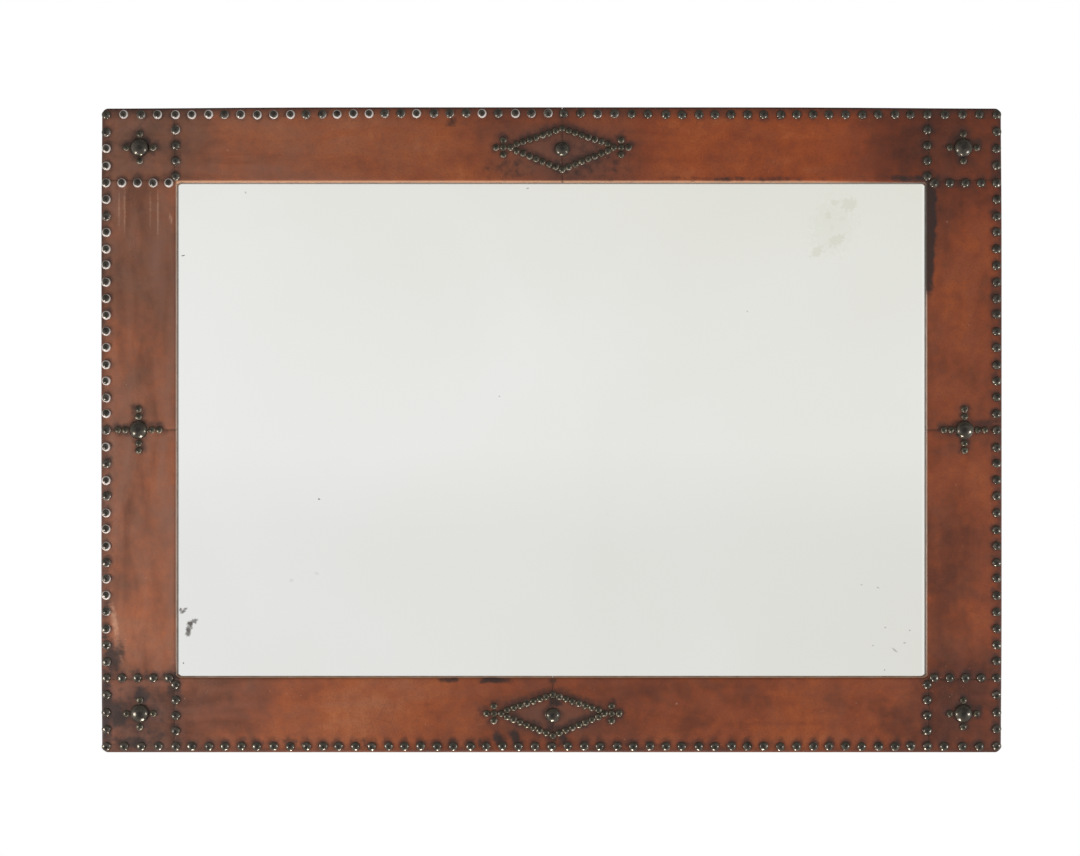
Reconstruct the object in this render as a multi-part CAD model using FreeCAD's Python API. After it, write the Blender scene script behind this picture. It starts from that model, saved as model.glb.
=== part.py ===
import FreeCAD, Part
import math
import os

# Overmantel mirror: a half-lapped softwood frame covered in twelve pieces of hide,
# studded with domed nails, holding a silvered plate in a rebate behind the sight edge.
# Millimetres. +X is the viewer's right, -Y faces the viewer, +Z is up.
# The origin is the middle of the bottom edge, half way through the frame's depth.

V = FreeCAD.Vector

# Frame
OVERALL_WIDTH = 1100.0
OVERALL_HEIGHT = 788.0
FACE_WIDTH = 91.5          # outside edge to sight edge, over the hide
CORNER_RADIUS = 8.0        # outside corners as seen from the front
ARRIS_RADIUS = 1.0         # timber edges eased under the hide
LIP_THICK = 11.0           # timber in front of the rebate
REBATE_WIDTH = 9.0
PEG_RADIUS = 4.5
PEG_OFFSET = 22.0          # each way from the middle of the lap

# Hide
HIDE_THICK = 2.0
SEAM_GAP = 0.5
TUCK_WIDTH = 7.0           # turned in behind the lip, under the glass
TURNOVER_WIDTH = 20.0      # turned over on to the back
TOP_SEAM_SHIFT = 13.0      # the top middle seam was cut right of centre
BOTTOM_SEAM_SHIFT = 1.5

# Mirror plate and its boards
GLASS_THICK = 5.0
GLASS_EDGE_GAP = 2.0
BOARD_THICK = 7.0
BOARD_COUNT = 4
BOARD_GAP = 1.0
BRAD_RADIUS = 0.8
BRAD_LAP = 8.0             # lies over the board
BRAD_BITE = 12.0           # driven into the rebate wall
BRAD_PITCH = 175.0
BRAD_ROOM = 3.0            # timber standing behind the boards

# Domed nails
BORDER_RADIUS = 5.5
BORDER_DOME = 3.4
BORDER_PITCH = 20.0
TOP_ROW_SLIP = 4.6         # the top row drifts left about its middle
TOP_ROW_RISE = 1.5         # and bows up there
DRIFT_MIDDLE = -75.0
DRIFT_REACH = 210.0
SIDE_INSET = 6.4           # border row to outside edge
TOP_INSET = 9.2
BOTTOM_INSET = 7.6
SMALL_RADIUS = 4.1
SMALL_DOME = 2.8
SMALL_GAP = 0.7            # between neighbouring small nails
BOSS_RADIUS = 11.5
BOSS_DOME = 7.6
MIDDLE_RADIUS = 9.1
MIDDLE_DOME = 5.8
SEAM_NAIL_SHIFT = 1.6      # seam nails stand this far inside the seams
TOP_NAIL_SHIFT = 3.2       # and a little lower under the top corners
ORNAMENT_DROP = 5.5        # the upper ornaments sit below the rail's middle
CORNER_BOSS_IN = 1.5       # corner ornaments, inward of the face's middle
CORNER_BOSS_UP = 1.9       # and above the level of the diamonds
DIAMOND_STEPS = 7          # small nails along each side of a diamond
DIAMOND_HALF_HEIGHT = 25.0
DIAMOND_GAP = 0.2          # between neighbouring nails of a diamond
DIAMOND_RISE = 2.0         # its side points, above its middle boss
RIM_HEIGHT = 0.7           # straight edge under each dome
SHANK_RADIUS = 0.9
POINT_LENGTH = 2.5
SHANK_COVER = 1.0          # timber left ahead of a point
SHANK_FIT = 0.08           # radial room round shanks, pegs and screws
HAND_WANDER = 0.8          # nails set by eye stray this far

# Tacks holding the turnover
TACK_HEAD_RADIUS = 2.8
TACK_HEAD_THICK = 0.8
TACK_RADIUS = 0.9
TACK_LENGTH = 9.0
TACK_PITCH = 70.0

# Hangers
HANGER_FROM_TOP = 190.0    # ring axis below the top edge
PLATE_WIDTH = 18.0
PLATE_LENGTH = 54.0
PLATE_THICK = 1.5
PLATE_END_RADIUS = 5.0
RING_WIRE_RADIUS = 1.5
RING_BORE_ROOM = 0.15      # radial, ring wire in its knuckle
RING_SIDE_ROOM = 1.0       # knuckle end to the ring's bend
RING_BEND = 4.0
RING_SIDE = 6.0            # straight length of each side
RING_PLATE_GAP = 1.2       # ring lying down, clear of its plate
SCREW_COUNT = 3
SCREW_RADIUS = 1.75
SCREW_LENGTH = 14.0
SCREW_SLOT = 0.8

# Sizes that follow from those above
HALF_WIDTH = OVERALL_WIDTH / 2
MIDDLE_HEIGHT = OVERALL_HEIGHT / 2
TIMBER_THICK = LIP_THICK + HIDE_THICK + GLASS_THICK + BOARD_THICK + BRAD_ROOM
TIMBER_FRONT = -TIMBER_THICK / 2
TIMBER_BACK = TIMBER_THICK / 2
HIDE_FRONT = TIMBER_FRONT - HIDE_THICK
HIDE_BACK = TIMBER_BACK + HIDE_THICK
FOLD_RADIUS = ARRIS_RADIUS + HIDE_THICK
SEAM_INSET = FACE_WIDTH - HIDE_THICK     # seams line up with the timber's inner edge
LIP_BACK = TIMBER_FRONT + LIP_THICK
GLASS_FRONT = LIP_BACK + HIDE_THICK
GLASS_BACK = GLASS_FRONT + GLASS_THICK
BOARD_BACK = GLASS_BACK + BOARD_THICK
REBATE_INSET = SEAM_INSET - REBATE_WIDTH
GLASS_INSET = REBATE_INSET + GLASS_EDGE_GAP
SHANK_LENGTH = HIDE_THICK + LIP_THICK - SHANK_COVER
SMALL_PITCH = 2 * SMALL_RADIUS + SMALL_GAP
DIAMOND_PITCH = 2 * SMALL_RADIUS + DIAMOND_GAP
DIAMOND_SIDE = DIAMOND_STEPS * DIAMOND_PITCH
DIAMOND_BLUNT = DIAMOND_PITCH / 2        # two nails stand one above the other at each side
DIAMOND_DROP = DIAMOND_HALF_HEIGHT - DIAMOND_RISE - DIAMOND_BLUNT
DIAMOND_HALF_WIDTH = math.sqrt(DIAMOND_SIDE ** 2 - DIAMOND_DROP ** 2)
CLUSTER_RADIUS = BOSS_RADIUS + SMALL_GAP + SMALL_RADIUS
SEAM_END = (2 * BORDER_RADIUS + SMALL_GAP) / math.sqrt(2)
SEAM_NAILS = SEAM_INSET + SEAM_NAIL_SHIFT
TOP_SEAM_NAILS = SEAM_INSET + TOP_NAIL_SHIFT
UPPER_ORNAMENT = OVERALL_HEIGHT - FACE_WIDTH / 2 - ORNAMENT_DROP
LOWER_ORNAMENT = FACE_WIDTH / 2
KNUCKLE_BORE = RING_WIRE_RADIUS + RING_BORE_ROOM
KNUCKLE_RADIUS = KNUCKLE_BORE + PLATE_THICK
RING_AXIS_Y = TIMBER_BACK + PLATE_THICK + RING_PLATE_GAP + RING_WIRE_RADIUS
RING_AXIS_Z = OVERALL_HEIGHT - HANGER_FROM_TOP
RING_HALF_BAR = PLATE_WIDTH / 2 + RING_SIDE_ROOM
RING_HALF_WIDTH = RING_HALF_BAR + RING_BEND
HANGER_X = HALF_WIDTH - (TURNOVER_WIDTH + REBATE_INSET) / 2
SCREW_HEAD_RADIUS = SCREW_RADIUS + PLATE_THICK
PAST = 1.0                 # how far cutting shapes run past a face


def block(x0, x1, y0, y1, z0, z1):
    return Part.makeBox(x1 - x0, y1 - y0, z1 - z0, V(x0, y0, z0))


def inset_block(inset, front, back):
    return block(-HALF_WIDTH + inset, HALF_WIDTH - inset, front, back, inset, OVERALL_HEIGHT - inset)


def arc(centre, radius, start, y):
    points = []
    for degrees in (start, start + 45, start + 90):
        angle = math.radians(degrees)
        points.append(V(centre[0] + radius * math.cos(angle), y, centre[1] + radius * math.sin(angle)))
    return points, Part.Arc(points[0], points[1], points[2]).toShape()


def rounded_slab(inset, corner, edge, front, back):
    """The frame's outline drawn in by inset, with rounded corners and eased face edges."""
    right = HALF_WIDTH - inset - corner
    top = OVERALL_HEIGHT - inset - corner
    bottom = inset + corner
    corners = [((right, top), 0), ((-right, top), 90), ((-right, bottom), 180), ((right, bottom), 270)]
    bends = [arc(centre, corner, start, front) for centre, start in corners]
    edges = []
    for index, (points, bend) in enumerate(bends):
        following = bends[(index + 1) % 4][0]
        edges.append(bend)
        edges.append(Part.makeLine(points[2], following[0]))
    solid = Part.Face(Part.Wire(edges)).extrude(V(0, back - front, 0))
    rims = []
    for candidate in solid.Edges:
        bound = candidate.BoundBox
        if bound.YMax - bound.YMin < 1e-6:
            rims.append(candidate)
    return solid.makeFillet(edge, rims)


def ease_strip(radius, length):
    """The waste taken off a square edge to round it: corner on the X axis, stock at +Y +Z."""
    middle = radius * (1 - math.sqrt(0.5))
    curve = Part.Arc(V(0, radius, 0), V(0, middle, middle), V(0, 0, radius)).toShape()
    sides = [Part.makeLine(V(0, 0, 0), V(0, radius, 0)), curve, Part.makeLine(V(0, 0, radius), V(0, 0, 0))]
    return Part.Face(Part.Wire(sides)).extrude(V(length, 0, 0))


def opening_easing(inset, radius, front):
    """Waste strips along the four front edges of an opening."""
    wide = OVERALL_WIDTH - 2 * inset
    high = OVERALL_HEIGHT - 2 * inset
    strips = []
    for turn, length, reach in ((0, wide, high), (90, high, wide), (180, wide, high), (270, high, wide)):
        strip = ease_strip(radius, length)
        strip.translate(V(-length / 2, front, reach / 2))
        strip.rotate(V(0, 0, 0), V(0, 1, 0), turn)
        strip.translate(V(0, 0, MIDDLE_HEIGHT))
        strips.append(strip)
    return strips


def nail(radius, dome, length):
    """A domed nail at the origin: head towards -Y, shank along +Y, flat under the head."""
    lift = dome - RIM_HEIGHT
    ball = (radius ** 2 + lift ** 2) / (2 * lift)
    half = math.asin(min(1.0, radius / ball)) / 2
    crown = V(0, -dome, 0)
    shoulder = V(ball * math.sin(half), ball - ball * math.cos(half) - dome, 0)
    rim = V(radius, -RIM_HEIGHT, 0)
    corners = [rim, V(radius, 0, 0), V(SHANK_RADIUS, 0, 0), V(SHANK_RADIUS, length - POINT_LENGTH, 0),
               V(0, length, 0), crown]
    sides = [Part.Arc(crown, shoulder, rim).toShape()]
    for start, end in zip(corners, corners[1:]):
        sides.append(Part.makeLine(start, end))
    return Part.Face(Part.Wire(sides)).revolve(V(0, 0, 0), V(0, 1, 0), 360)


def nails_at(places, radius, dome):
    pattern = nail(radius, dome, SHANK_LENGTH)
    solids = []
    for x, z in places:
        copy = pattern.copy()
        copy.translate(V(x, HIDE_FRONT, z))
        solids.append(copy)
    return solids


def wander(index, phase):
    return HAND_WANDER * math.sin(index * 2.399 + phase) * math.sin(index * 1.171 + 2 * phase)


def spaced(start, end, pitch):
    """Even marks from start to end, both included, as near the pitch as fits."""
    steps = max(1, round(abs(end - start) / pitch))
    return [start + (end - start) * step / steps for step in range(steps + 1)]


def row_marks(corners):
    """Marks along one border row from its four fixed nails: first, two at the seams, last."""
    marks = corners[:1]
    for start, end in zip(corners, corners[1:]):
        marks += spaced(start, end, BORDER_PITCH)[1:]
    return [(mark, mark in corners) for mark in marks]


def rail_row(z, phase, slip=0.0, rise=0.0):
    places = []
    end = HALF_WIDTH - SIDE_INSET
    seam = HALF_WIDTH - SEAM_NAILS
    for index, (mark, fixed) in enumerate(row_marks([-end, -seam, seam, end])):
        stray = 0 if fixed else wander(index, phase)
        drift = max(0.0, 1 - ((mark - DRIFT_MIDDLE) / DRIFT_REACH) ** 4)
        places.append((mark + stray - slip * drift, z + wander(index, phase + 1.7) / 2 + rise * drift))
    return places


def stile_row(x, phase):
    places = []
    marks = row_marks([BOTTOM_INSET, SEAM_NAILS, OVERALL_HEIGHT - TOP_SEAM_NAILS, OVERALL_HEIGHT - TOP_INSET])
    for index, (mark, fixed) in enumerate(marks[1:-1]):
        stray = 0 if fixed else wander(index, phase)
        places.append((x + wander(index, phase + 1.7) / 3, mark + stray))
    return places


def seam_nails(side, upper):
    """The two lines of nails along a corner hide's seams; the outermost belong to the border rows."""
    sign = 1 if upper else -1
    edge = OVERALL_HEIGHT if upper else 0
    border = TOP_INSET if upper else BOTTOM_INSET
    level = TOP_SEAM_NAILS if upper else SEAM_NAILS
    places = []
    for mark in spaced(border, level - SEAM_END, BORDER_PITCH)[1:]:
        places.append((side * (HALF_WIDTH - SEAM_NAILS), edge - sign * mark))
    for mark in spaced(SIDE_INSET, SEAM_NAILS - SEAM_END, BORDER_PITCH)[1:]:
        places.append((side * (HALF_WIDTH - mark), edge - sign * level))
    return places


def cross(x, z, reaches):
    places = []
    for reach in reaches:
        places += [(x + reach, z), (x - reach, z), (x, z + reach), (x, z - reach)]
    return places


def diamond(x, z):
    """A diamond of small nails, blunt at its sides, with a five-nail cross beyond each side."""
    level = z + DIAMOND_RISE
    places = []
    for upward in (-1, 1):
        apex = V(x, 0, z + upward * DIAMOND_HALF_HEIGHT)
        places.append((apex.x, apex.z))
        for side in (-1, 1):
            run = V(x + side * DIAMOND_HALF_WIDTH, 0, level + upward * DIAMOND_BLUNT) - apex
            for step in range(1, DIAMOND_STEPS + 1):
                point = apex + run * (step / DIAMOND_STEPS)
                places.append((point.x, point.z))
    inner = DIAMOND_HALF_WIDTH + DIAMOND_BLUNT * math.sqrt(3)    # nestles between the two side nails
    for side in (-1, 1):
        middle = x + side * (inner + SMALL_PITCH)
        places.append((middle, level))
        places += cross(middle, level, [SMALL_PITCH])
    return places


def shank_holes(places):
    deep = SHANK_LENGTH + SHANK_FIT
    return [Part.makeCylinder(SHANK_RADIUS + SHANK_FIT, deep + PAST, V(x, HIDE_FRONT - PAST, z), V(0, 1, 0))
            for x, z in places]


def meeting(shape, tools):
    bound = shape.BoundBox
    return [tool for tool in tools if bound.intersect(tool.BoundBox)]


def trimmed(shape, tools):
    near = meeting(shape, tools)
    return shape.cut(near) if near else shape


def rod(radius, start, end):
    path = end - start
    return Part.makeCylinder(radius, path.Length, start, path)


nodes = {}

# Nail positions
stile_x = HALF_WIDTH - FACE_WIDTH / 2
corner_x = stile_x - CORNER_BOSS_IN
bosses_at = [(side * corner_x, level + CORNER_BOSS_UP)
             for level in (UPPER_ORNAMENT, LOWER_ORNAMENT) for side in (-1, 1)]
stile_bosses_at = [(side * stile_x, MIDDLE_HEIGHT) for side in (-1, 1)]
middles_at = [(TOP_SEAM_SHIFT, UPPER_ORNAMENT), (BOTTOM_SEAM_SHIFT, LOWER_ORNAMENT)]
border = {
    "top_border_nails": rail_row(OVERALL_HEIGHT - TOP_INSET, 0.4, TOP_ROW_SLIP, TOP_ROW_RISE),
    "bottom_border_nails": rail_row(BOTTOM_INSET, 2.1),
    "left_border_nails": stile_row(-HALF_WIDTH + SIDE_INSET, 3.3),
    "right_border_nails": stile_row(HALF_WIDTH - SIDE_INSET, 4.9),
    "top_left_seam_nails": seam_nails(-1, True),
    "top_right_seam_nails": seam_nails(1, True),
    "bottom_left_seam_nails": seam_nails(-1, False),
    "bottom_right_seam_nails": seam_nails(1, False),
}
small = {
    "corner_cluster_nails": [place for x, z in bosses_at for place in cross(x, z, [CLUSTER_RADIUS])],
    "stile_cross_nails": [place for x, z in stile_bosses_at
                          for place in cross(x, z, [CLUSTER_RADIUS, CLUSTER_RADIUS + SMALL_PITCH])],
    "top_diamond_nails": diamond(*middles_at[0]),
    "bottom_diamond_nails": diamond(*middles_at[1]),
}
for name, places in border.items():
    nodes[name] = nails_at(places, BORDER_RADIUS, BORDER_DOME)
for name, places in small.items():
    nodes[name] = nails_at(places, SMALL_RADIUS, SMALL_DOME)
nodes["corner_bosses"] = nails_at(bosses_at, BOSS_RADIUS, BOSS_DOME)
nodes["stile_bosses"] = nails_at(stile_bosses_at, BOSS_RADIUS, BOSS_DOME)
nodes["diamond_bosses"] = nails_at(middles_at, MIDDLE_RADIUS, MIDDLE_DOME)
every_place = [place for places in list(border.values()) + list(small.values()) for place in places]
every_place += bosses_at + stile_bosses_at + middles_at
nail_holes = shank_holes(every_place)

# Timber: one rebated frame, parted into two rails lapping in front of two stiles
frame = rounded_slab(HIDE_THICK, CORNER_RADIUS - HIDE_THICK, ARRIS_RADIUS, TIMBER_FRONT, TIMBER_BACK)
frame = frame.cut([inset_block(SEAM_INSET, TIMBER_FRONT - PAST, TIMBER_BACK + PAST)]
                  + [inset_block(REBATE_INSET, LIP_BACK, TIMBER_BACK + PAST)])
frame = frame.cut(opening_easing(SEAM_INSET, ARRIS_RADIUS, TIMBER_FRONT))
inner_x = HALF_WIDTH - SEAM_INSET
lap_y = (TIMBER_FRONT + TIMBER_BACK) / 2

# Two pegs through each lap, on the corner's diagonal
pegs = []
peg_holes = []
lap_inset = (HIDE_THICK + SEAM_INSET) / 2
for side in (-1, 1):
    for up, lap_z in ((-1, lap_inset), (1, OVERALL_HEIGHT - lap_inset)):
        for offset in (-PEG_OFFSET, PEG_OFFSET):
            start = V(side * (HALF_WIDTH - lap_inset + offset), TIMBER_FRONT, lap_z + up * offset)
            end = start + V(0, TIMBER_THICK, 0)
            pegs.append(rod(PEG_RADIUS, start, end))
            peg_holes.append(rod(PEG_RADIUS + SHANK_FIT, start - V(0, PAST, 0), end + V(0, PAST, 0)))
nodes["corner_pegs"] = pegs

# Brads over the boards, driven sideways into the rebate wall
brads = []
brad_holes = []
brad_y = BOARD_BACK + BRAD_RADIUS + SHANK_FIT
glass_x = HALF_WIDTH - GLASS_INSET
glass_low = GLASS_INSET
glass_high = OVERALL_HEIGHT - GLASS_INSET
board_height = (glass_high - glass_low - (BOARD_COUNT - 1) * BOARD_GAP) / BOARD_COUNT
board_lows = [glass_low + index * (board_height + BOARD_GAP) for index in range(BOARD_COUNT)]
brad_lines = []
for low in board_lows:
    for side in (-1, 1):
        brad_lines.append((V(side * (glass_x - BRAD_LAP), brad_y, low + board_height / 2), V(side, 0, 0)))
for mark in spaced(-glass_x, glass_x, BRAD_PITCH)[1:-1]:
    brad_lines.append((V(mark, brad_y, glass_low + BRAD_LAP), V(0, 0, -1)))
    brad_lines.append((V(mark, brad_y, glass_high - BRAD_LAP), V(0, 0, 1)))
for start, heading in brad_lines:
    end = start + heading * (BRAD_LAP + GLASS_EDGE_GAP + BRAD_BITE)
    brads.append(rod(BRAD_RADIUS, start, end))
    brad_holes.append(rod(BRAD_RADIUS + SHANK_FIT, start, end + heading * SHANK_FIT))
nodes["board_brads"] = brads

# Hangers: a strap with a rolled knuckle on each stile's back, a wire ring swinging in it
screws = []
screw_holes = []
plates = {}
rings = {}
plate_low = RING_AXIS_Z - PLATE_LENGTH
for name, hanger_x in (("left", -HANGER_X), ("right", HANGER_X)):
    plate = block(hanger_x - PLATE_WIDTH / 2, hanger_x + PLATE_WIDTH / 2,
                  TIMBER_BACK, TIMBER_BACK + PLATE_THICK, plate_low, RING_AXIS_Z)
    ends = []
    for edge in plate.Edges:
        bound = edge.BoundBox
        if bound.ZMax < plate_low + 1e-6 and bound.YMax - bound.YMin > PLATE_THICK / 2:
            ends.append(edge)
    plate = plate.makeFillet(PLATE_END_RADIUS, ends)
    left_end = V(hanger_x - PLATE_WIDTH / 2, RING_AXIS_Y, RING_AXIS_Z)
    right_end = V(hanger_x + PLATE_WIDTH / 2, RING_AXIS_Y, RING_AXIS_Z)
    web = block(left_end.x, right_end.x, TIMBER_BACK, RING_AXIS_Y, RING_AXIS_Z - KNUCKLE_RADIUS, RING_AXIS_Z)
    plate = plate.fuse([rod(KNUCKLE_RADIUS, left_end, right_end), web]).removeSplitter()
    run = V(PAST, 0, 0)
    cutters = [rod(KNUCKLE_BORE, left_end - run, right_end + run)]
    screw_step = (PLATE_LENGTH - KNUCKLE_RADIUS) / SCREW_COUNT
    for index in range(SCREW_COUNT):
        head = V(hanger_x, TIMBER_BACK + PLATE_THICK, plate_low + (index + 0.5) * screw_step)
        point = V(hanger_x, TIMBER_BACK + PLATE_THICK - SCREW_LENGTH, head.z)
        cone = Part.makeCone(SCREW_HEAD_RADIUS, SCREW_RADIUS, PLATE_THICK, head, V(0, -1, 0))
        screw = cone.fuse(rod(SCREW_RADIUS, head, point + V(0, POINT_LENGTH, 0)))
        screw = screw.fuse(Part.makeCone(SCREW_RADIUS, SCREW_RADIUS / 4, POINT_LENGTH,
                                         point + V(0, POINT_LENGTH, 0), V(0, -1, 0)))
        slot = block(head.x - SCREW_HEAD_RADIUS, head.x + SCREW_HEAD_RADIUS, head.y - SCREW_SLOT,
                     head.y + PAST, head.z - SCREW_SLOT / 2, head.z + SCREW_SLOT / 2)
        screws.append(screw.removeSplitter().cut(slot))
        sink = Part.makeCone(SCREW_HEAD_RADIUS + SHANK_FIT, SCREW_RADIUS + SHANK_FIT, PLATE_THICK,
                             head, V(0, -1, 0))
        hole = rod(SCREW_RADIUS + SHANK_FIT, head, point - V(0, SHANK_FIT, 0))
        cutters += [sink, hole]
        screw_holes.append(hole)
    plates[name + "_hanger_plate"] = plate.cut(cutters)

    bar_end = V(hanger_x + RING_HALF_BAR, RING_AXIS_Y, RING_AXIS_Z)
    wire = Part.Face(Part.Wire(Part.makeCircle(RING_WIRE_RADIUS, bar_end, V(1, 0, 0))))
    bar = wire.extrude(V(-2 * RING_HALF_BAR, 0, 0))
    bend_z = RING_AXIS_Z - RING_BEND
    bow_z = bend_z - RING_SIDE
    right_bend = wire.revolve(V(hanger_x + RING_HALF_BAR, RING_AXIS_Y, bend_z), V(0, 1, 0), 90)
    bend_end = V(hanger_x + RING_HALF_WIDTH, RING_AXIS_Y, bend_z)
    foot = Part.Face(Part.Wire(Part.makeCircle(RING_WIRE_RADIUS, bend_end, V(0, 0, 1))))
    right_side = foot.extrude(V(0, 0, -RING_SIDE))
    foot.translate(V(0, 0, -RING_SIDE))
    bow = foot.revolve(V(hanger_x, RING_AXIS_Y, bow_z), V(0, 1, 0), 180)
    mirrored = [shape.mirror(V(hanger_x, 0, 0), V(1, 0, 0)) for shape in (right_bend, right_side)]
    rings[name + "_hanger_ring"] = bar.fuse([right_bend, right_side, bow] + mirrored).removeSplitter()
for name, plate in plates.items():
    nodes[name] = [plate]
for name, ring in rings.items():
    nodes[name] = [ring]
nodes["hanger_screws"] = screws

# Hide: the frame's skin, folded in at the sight edge and over on to the back, parted at the seams
skin = rounded_slab(0, CORNER_RADIUS, FOLD_RADIUS, HIDE_FRONT, HIDE_BACK)
skin = skin.cut(inset_block(FACE_WIDTH, HIDE_FRONT - PAST, HIDE_BACK + PAST))
skin = skin.cut(opening_easing(FACE_WIDTH, FOLD_RADIUS, HIDE_FRONT))
skin = skin.cut(frame)
behind_tuck = inset_block(REBATE_INSET - PAST, LIP_BACK, GLASS_FRONT)
behind_tuck = behind_tuck.cut(inset_block(SEAM_INSET - TUCK_WIDTH, LIP_BACK - PAST, GLASS_FRONT + PAST))
skin = skin.cut([inset_block(REBATE_INSET - PAST, GLASS_FRONT, HIDE_BACK + PAST), behind_tuck])
skin = skin.cut(inset_block(TURNOVER_WIDTH, TIMBER_BACK, HIDE_BACK + PAST))

half_gap = SEAM_GAP / 2
far = PAST + HIDE_THICK
front = HIDE_FRONT - far
back = HIDE_BACK + far
low_seam = SEAM_INSET
high_seam = OVERALL_HEIGHT - SEAM_INSET
sight_x = HALF_WIDTH - FACE_WIDTH
hide_cuts = {}
tack_marks = []
top_tack = OVERALL_HEIGHT - TURNOVER_WIDTH / 2
bottom_tack = TURNOVER_WIDTH / 2
for rail, z0, z1, split, tack_z in (
        ("top", OVERALL_HEIGHT - FACE_WIDTH, OVERALL_HEIGHT + far, TOP_SEAM_SHIFT, top_tack),
        ("bottom", -far, FACE_WIDTH, BOTTOM_SEAM_SHIFT, bottom_tack)):
    for side, x0, x1 in (("left", -inner_x, split), ("right", split, inner_x)):
        hide_cuts[rail + "_" + side + "_rail_hide"] = block(x0 + half_gap, x1 - half_gap, front, back, z0, z1)
        marks = max(1, round((x1 - x0) / TACK_PITCH))
        tack_marks += [(x0 + (x1 - x0) * (index + 0.5) / marks, tack_z) for index in range(marks)]
top_sight = OVERALL_HEIGHT - FACE_WIDTH
rail_room = [block(-inner_x, inner_x, front, back, top_sight - half_gap, OVERALL_HEIGHT + far),
             block(-inner_x, inner_x, front, back, -far, FACE_WIDTH + half_gap)]
rebate_room = inset_block(REBATE_INSET - PAST, LIP_BACK, back)
for stile, side in (("left", -1), ("right", 1)):
    x0, x1 = sorted((side * sight_x, side * (HALF_WIDTH + far)))
    for level, z0, z1 in (("lower", low_seam, MIDDLE_HEIGHT), ("upper", MIDDLE_HEIGHT, high_seam)):
        region = block(x0, x1, front, back, z0 + half_gap, z1 - half_gap)
        hide_cuts[stile + "_" + level + "_stile_hide"] = region.cut(rail_room)
        marks = max(1, round((z1 - z0) / TACK_PITCH))
        tack_x = side * (HALF_WIDTH - TURNOVER_WIDTH / 2)
        tack_marks += [(tack_x, z0 + (z1 - z0) * (index + 0.5) / marks) for index in range(marks)]
    x0, x1 = sorted((side * (inner_x + half_gap), side * (HALF_WIDTH + far)))
    for rail, z0, z1 in (("bottom", -far, low_seam - half_gap),
                         ("top", high_seam + half_gap, OVERALL_HEIGHT + far)):
        region = block(x0, x1, front, back, z0, z1)
        hide_cuts[rail + "_" + stile + "_corner_hide"] = region.cut(rebate_room)
    for tack_z in (bottom_tack, top_tack):
        tack_marks.append((side * (HALF_WIDTH - SEAM_INSET / 2), tack_z))
    for tack_z in (SEAM_INSET / 2, OVERALL_HEIGHT - SEAM_INSET / 2):
        tack_marks.append((side * (HALF_WIDTH - TURNOVER_WIDTH / 2), tack_z))

# Turnover tacks, their flat heads pulled flush with the hide
tacks = []
tack_holes = []
for x, z in tack_marks:
    top = V(x, HIDE_BACK, z)
    seat = top - V(0, TACK_HEAD_THICK, 0)
    shank_end = seat - V(0, TACK_LENGTH - POINT_LENGTH, 0)
    tip = Part.makeCone(TACK_RADIUS, TACK_RADIUS / 4, POINT_LENGTH, shank_end, V(0, -1, 0))
    tack = rod(TACK_HEAD_RADIUS, top, seat).fuse([rod(TACK_RADIUS, seat, shank_end), tip])
    tacks.append(tack.removeSplitter())
    tack_holes.append(rod(TACK_HEAD_RADIUS + SHANK_FIT, top + V(0, PAST, 0), seat))
    tack_holes.append(rod(TACK_RADIUS + SHANK_FIT, top, seat - V(0, TACK_LENGTH + SHANK_FIT, 0)))
nodes["turnover_tacks"] = tacks

hide_holes = nail_holes + tack_holes
for name, region in hide_cuts.items():
    nodes[name] = [trimmed(skin.common(region), hide_holes)]

timber_holes = nail_holes + tack_holes + peg_holes + brad_holes + screw_holes
rail_ends = [block(side * inner_x if side > 0 else -HALF_WIDTH, HALF_WIDTH if side > 0 else -inner_x,
                   lap_y, TIMBER_BACK + PAST, -PAST, OVERALL_HEIGHT + PAST) for side in (-1, 1)]
stile_ends = [block(-HALF_WIDTH - PAST, HALF_WIDTH + PAST, TIMBER_FRONT - PAST, lap_y, z0, z1)
              for z0, z1 in ((-PAST, low_seam), (high_seam, OVERALL_HEIGHT + PAST))]
for name, z0, z1 in (("bottom_rail", -PAST, low_seam), ("top_rail", high_seam, OVERALL_HEIGHT + PAST)):
    region = block(-HALF_WIDTH - PAST, HALF_WIDTH + PAST, TIMBER_FRONT - PAST, TIMBER_BACK + PAST, z0, z1)
    nodes[name] = [trimmed(frame.common(region).cut(rail_ends), timber_holes)]
for name, side in (("left_stile", -1), ("right_stile", 1)):
    x0, x1 = sorted((side * inner_x, side * (HALF_WIDTH + PAST)))
    region = block(x0, x1, TIMBER_FRONT - PAST, TIMBER_BACK + PAST, -PAST, OVERALL_HEIGHT + PAST)
    nodes[name] = [trimmed(frame.common(region).cut(stile_ends), timber_holes)]

# Mirror plate and the boards behind it
nodes["mirror_plate"] = [block(-glass_x, glass_x, GLASS_FRONT, GLASS_BACK, glass_low, glass_high)]
for index, low in enumerate(board_lows):
    board = block(-glass_x, glass_x, GLASS_BACK, BOARD_BACK, low, low + board_height)
    nodes["back_board_" + str(index + 1)] = [board]

os.makedirs("parts", exist_ok=True)
for name, solids in sorted(nodes.items()):
    shape = solids[0] if len(solids) == 1 else Part.makeCompound(solids)
    if not shape.isValid() or len(shape.Solids) != len(solids):
        raise ValueError(name + " is not " + str(len(solids)) + " sound solid(s)")
    shape.exportStep(os.path.join("parts", name + ".step"))
    print(name, len(shape.Solids), "solids", round(shape.Volume / 1000, 1), "cm3")
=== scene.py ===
import math
import random
from functools import partial

import bmesh
import bpy
import numpy as np
from mathutils import Matrix, Vector, noise
from mathutils.kdtree import KDTree


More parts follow.
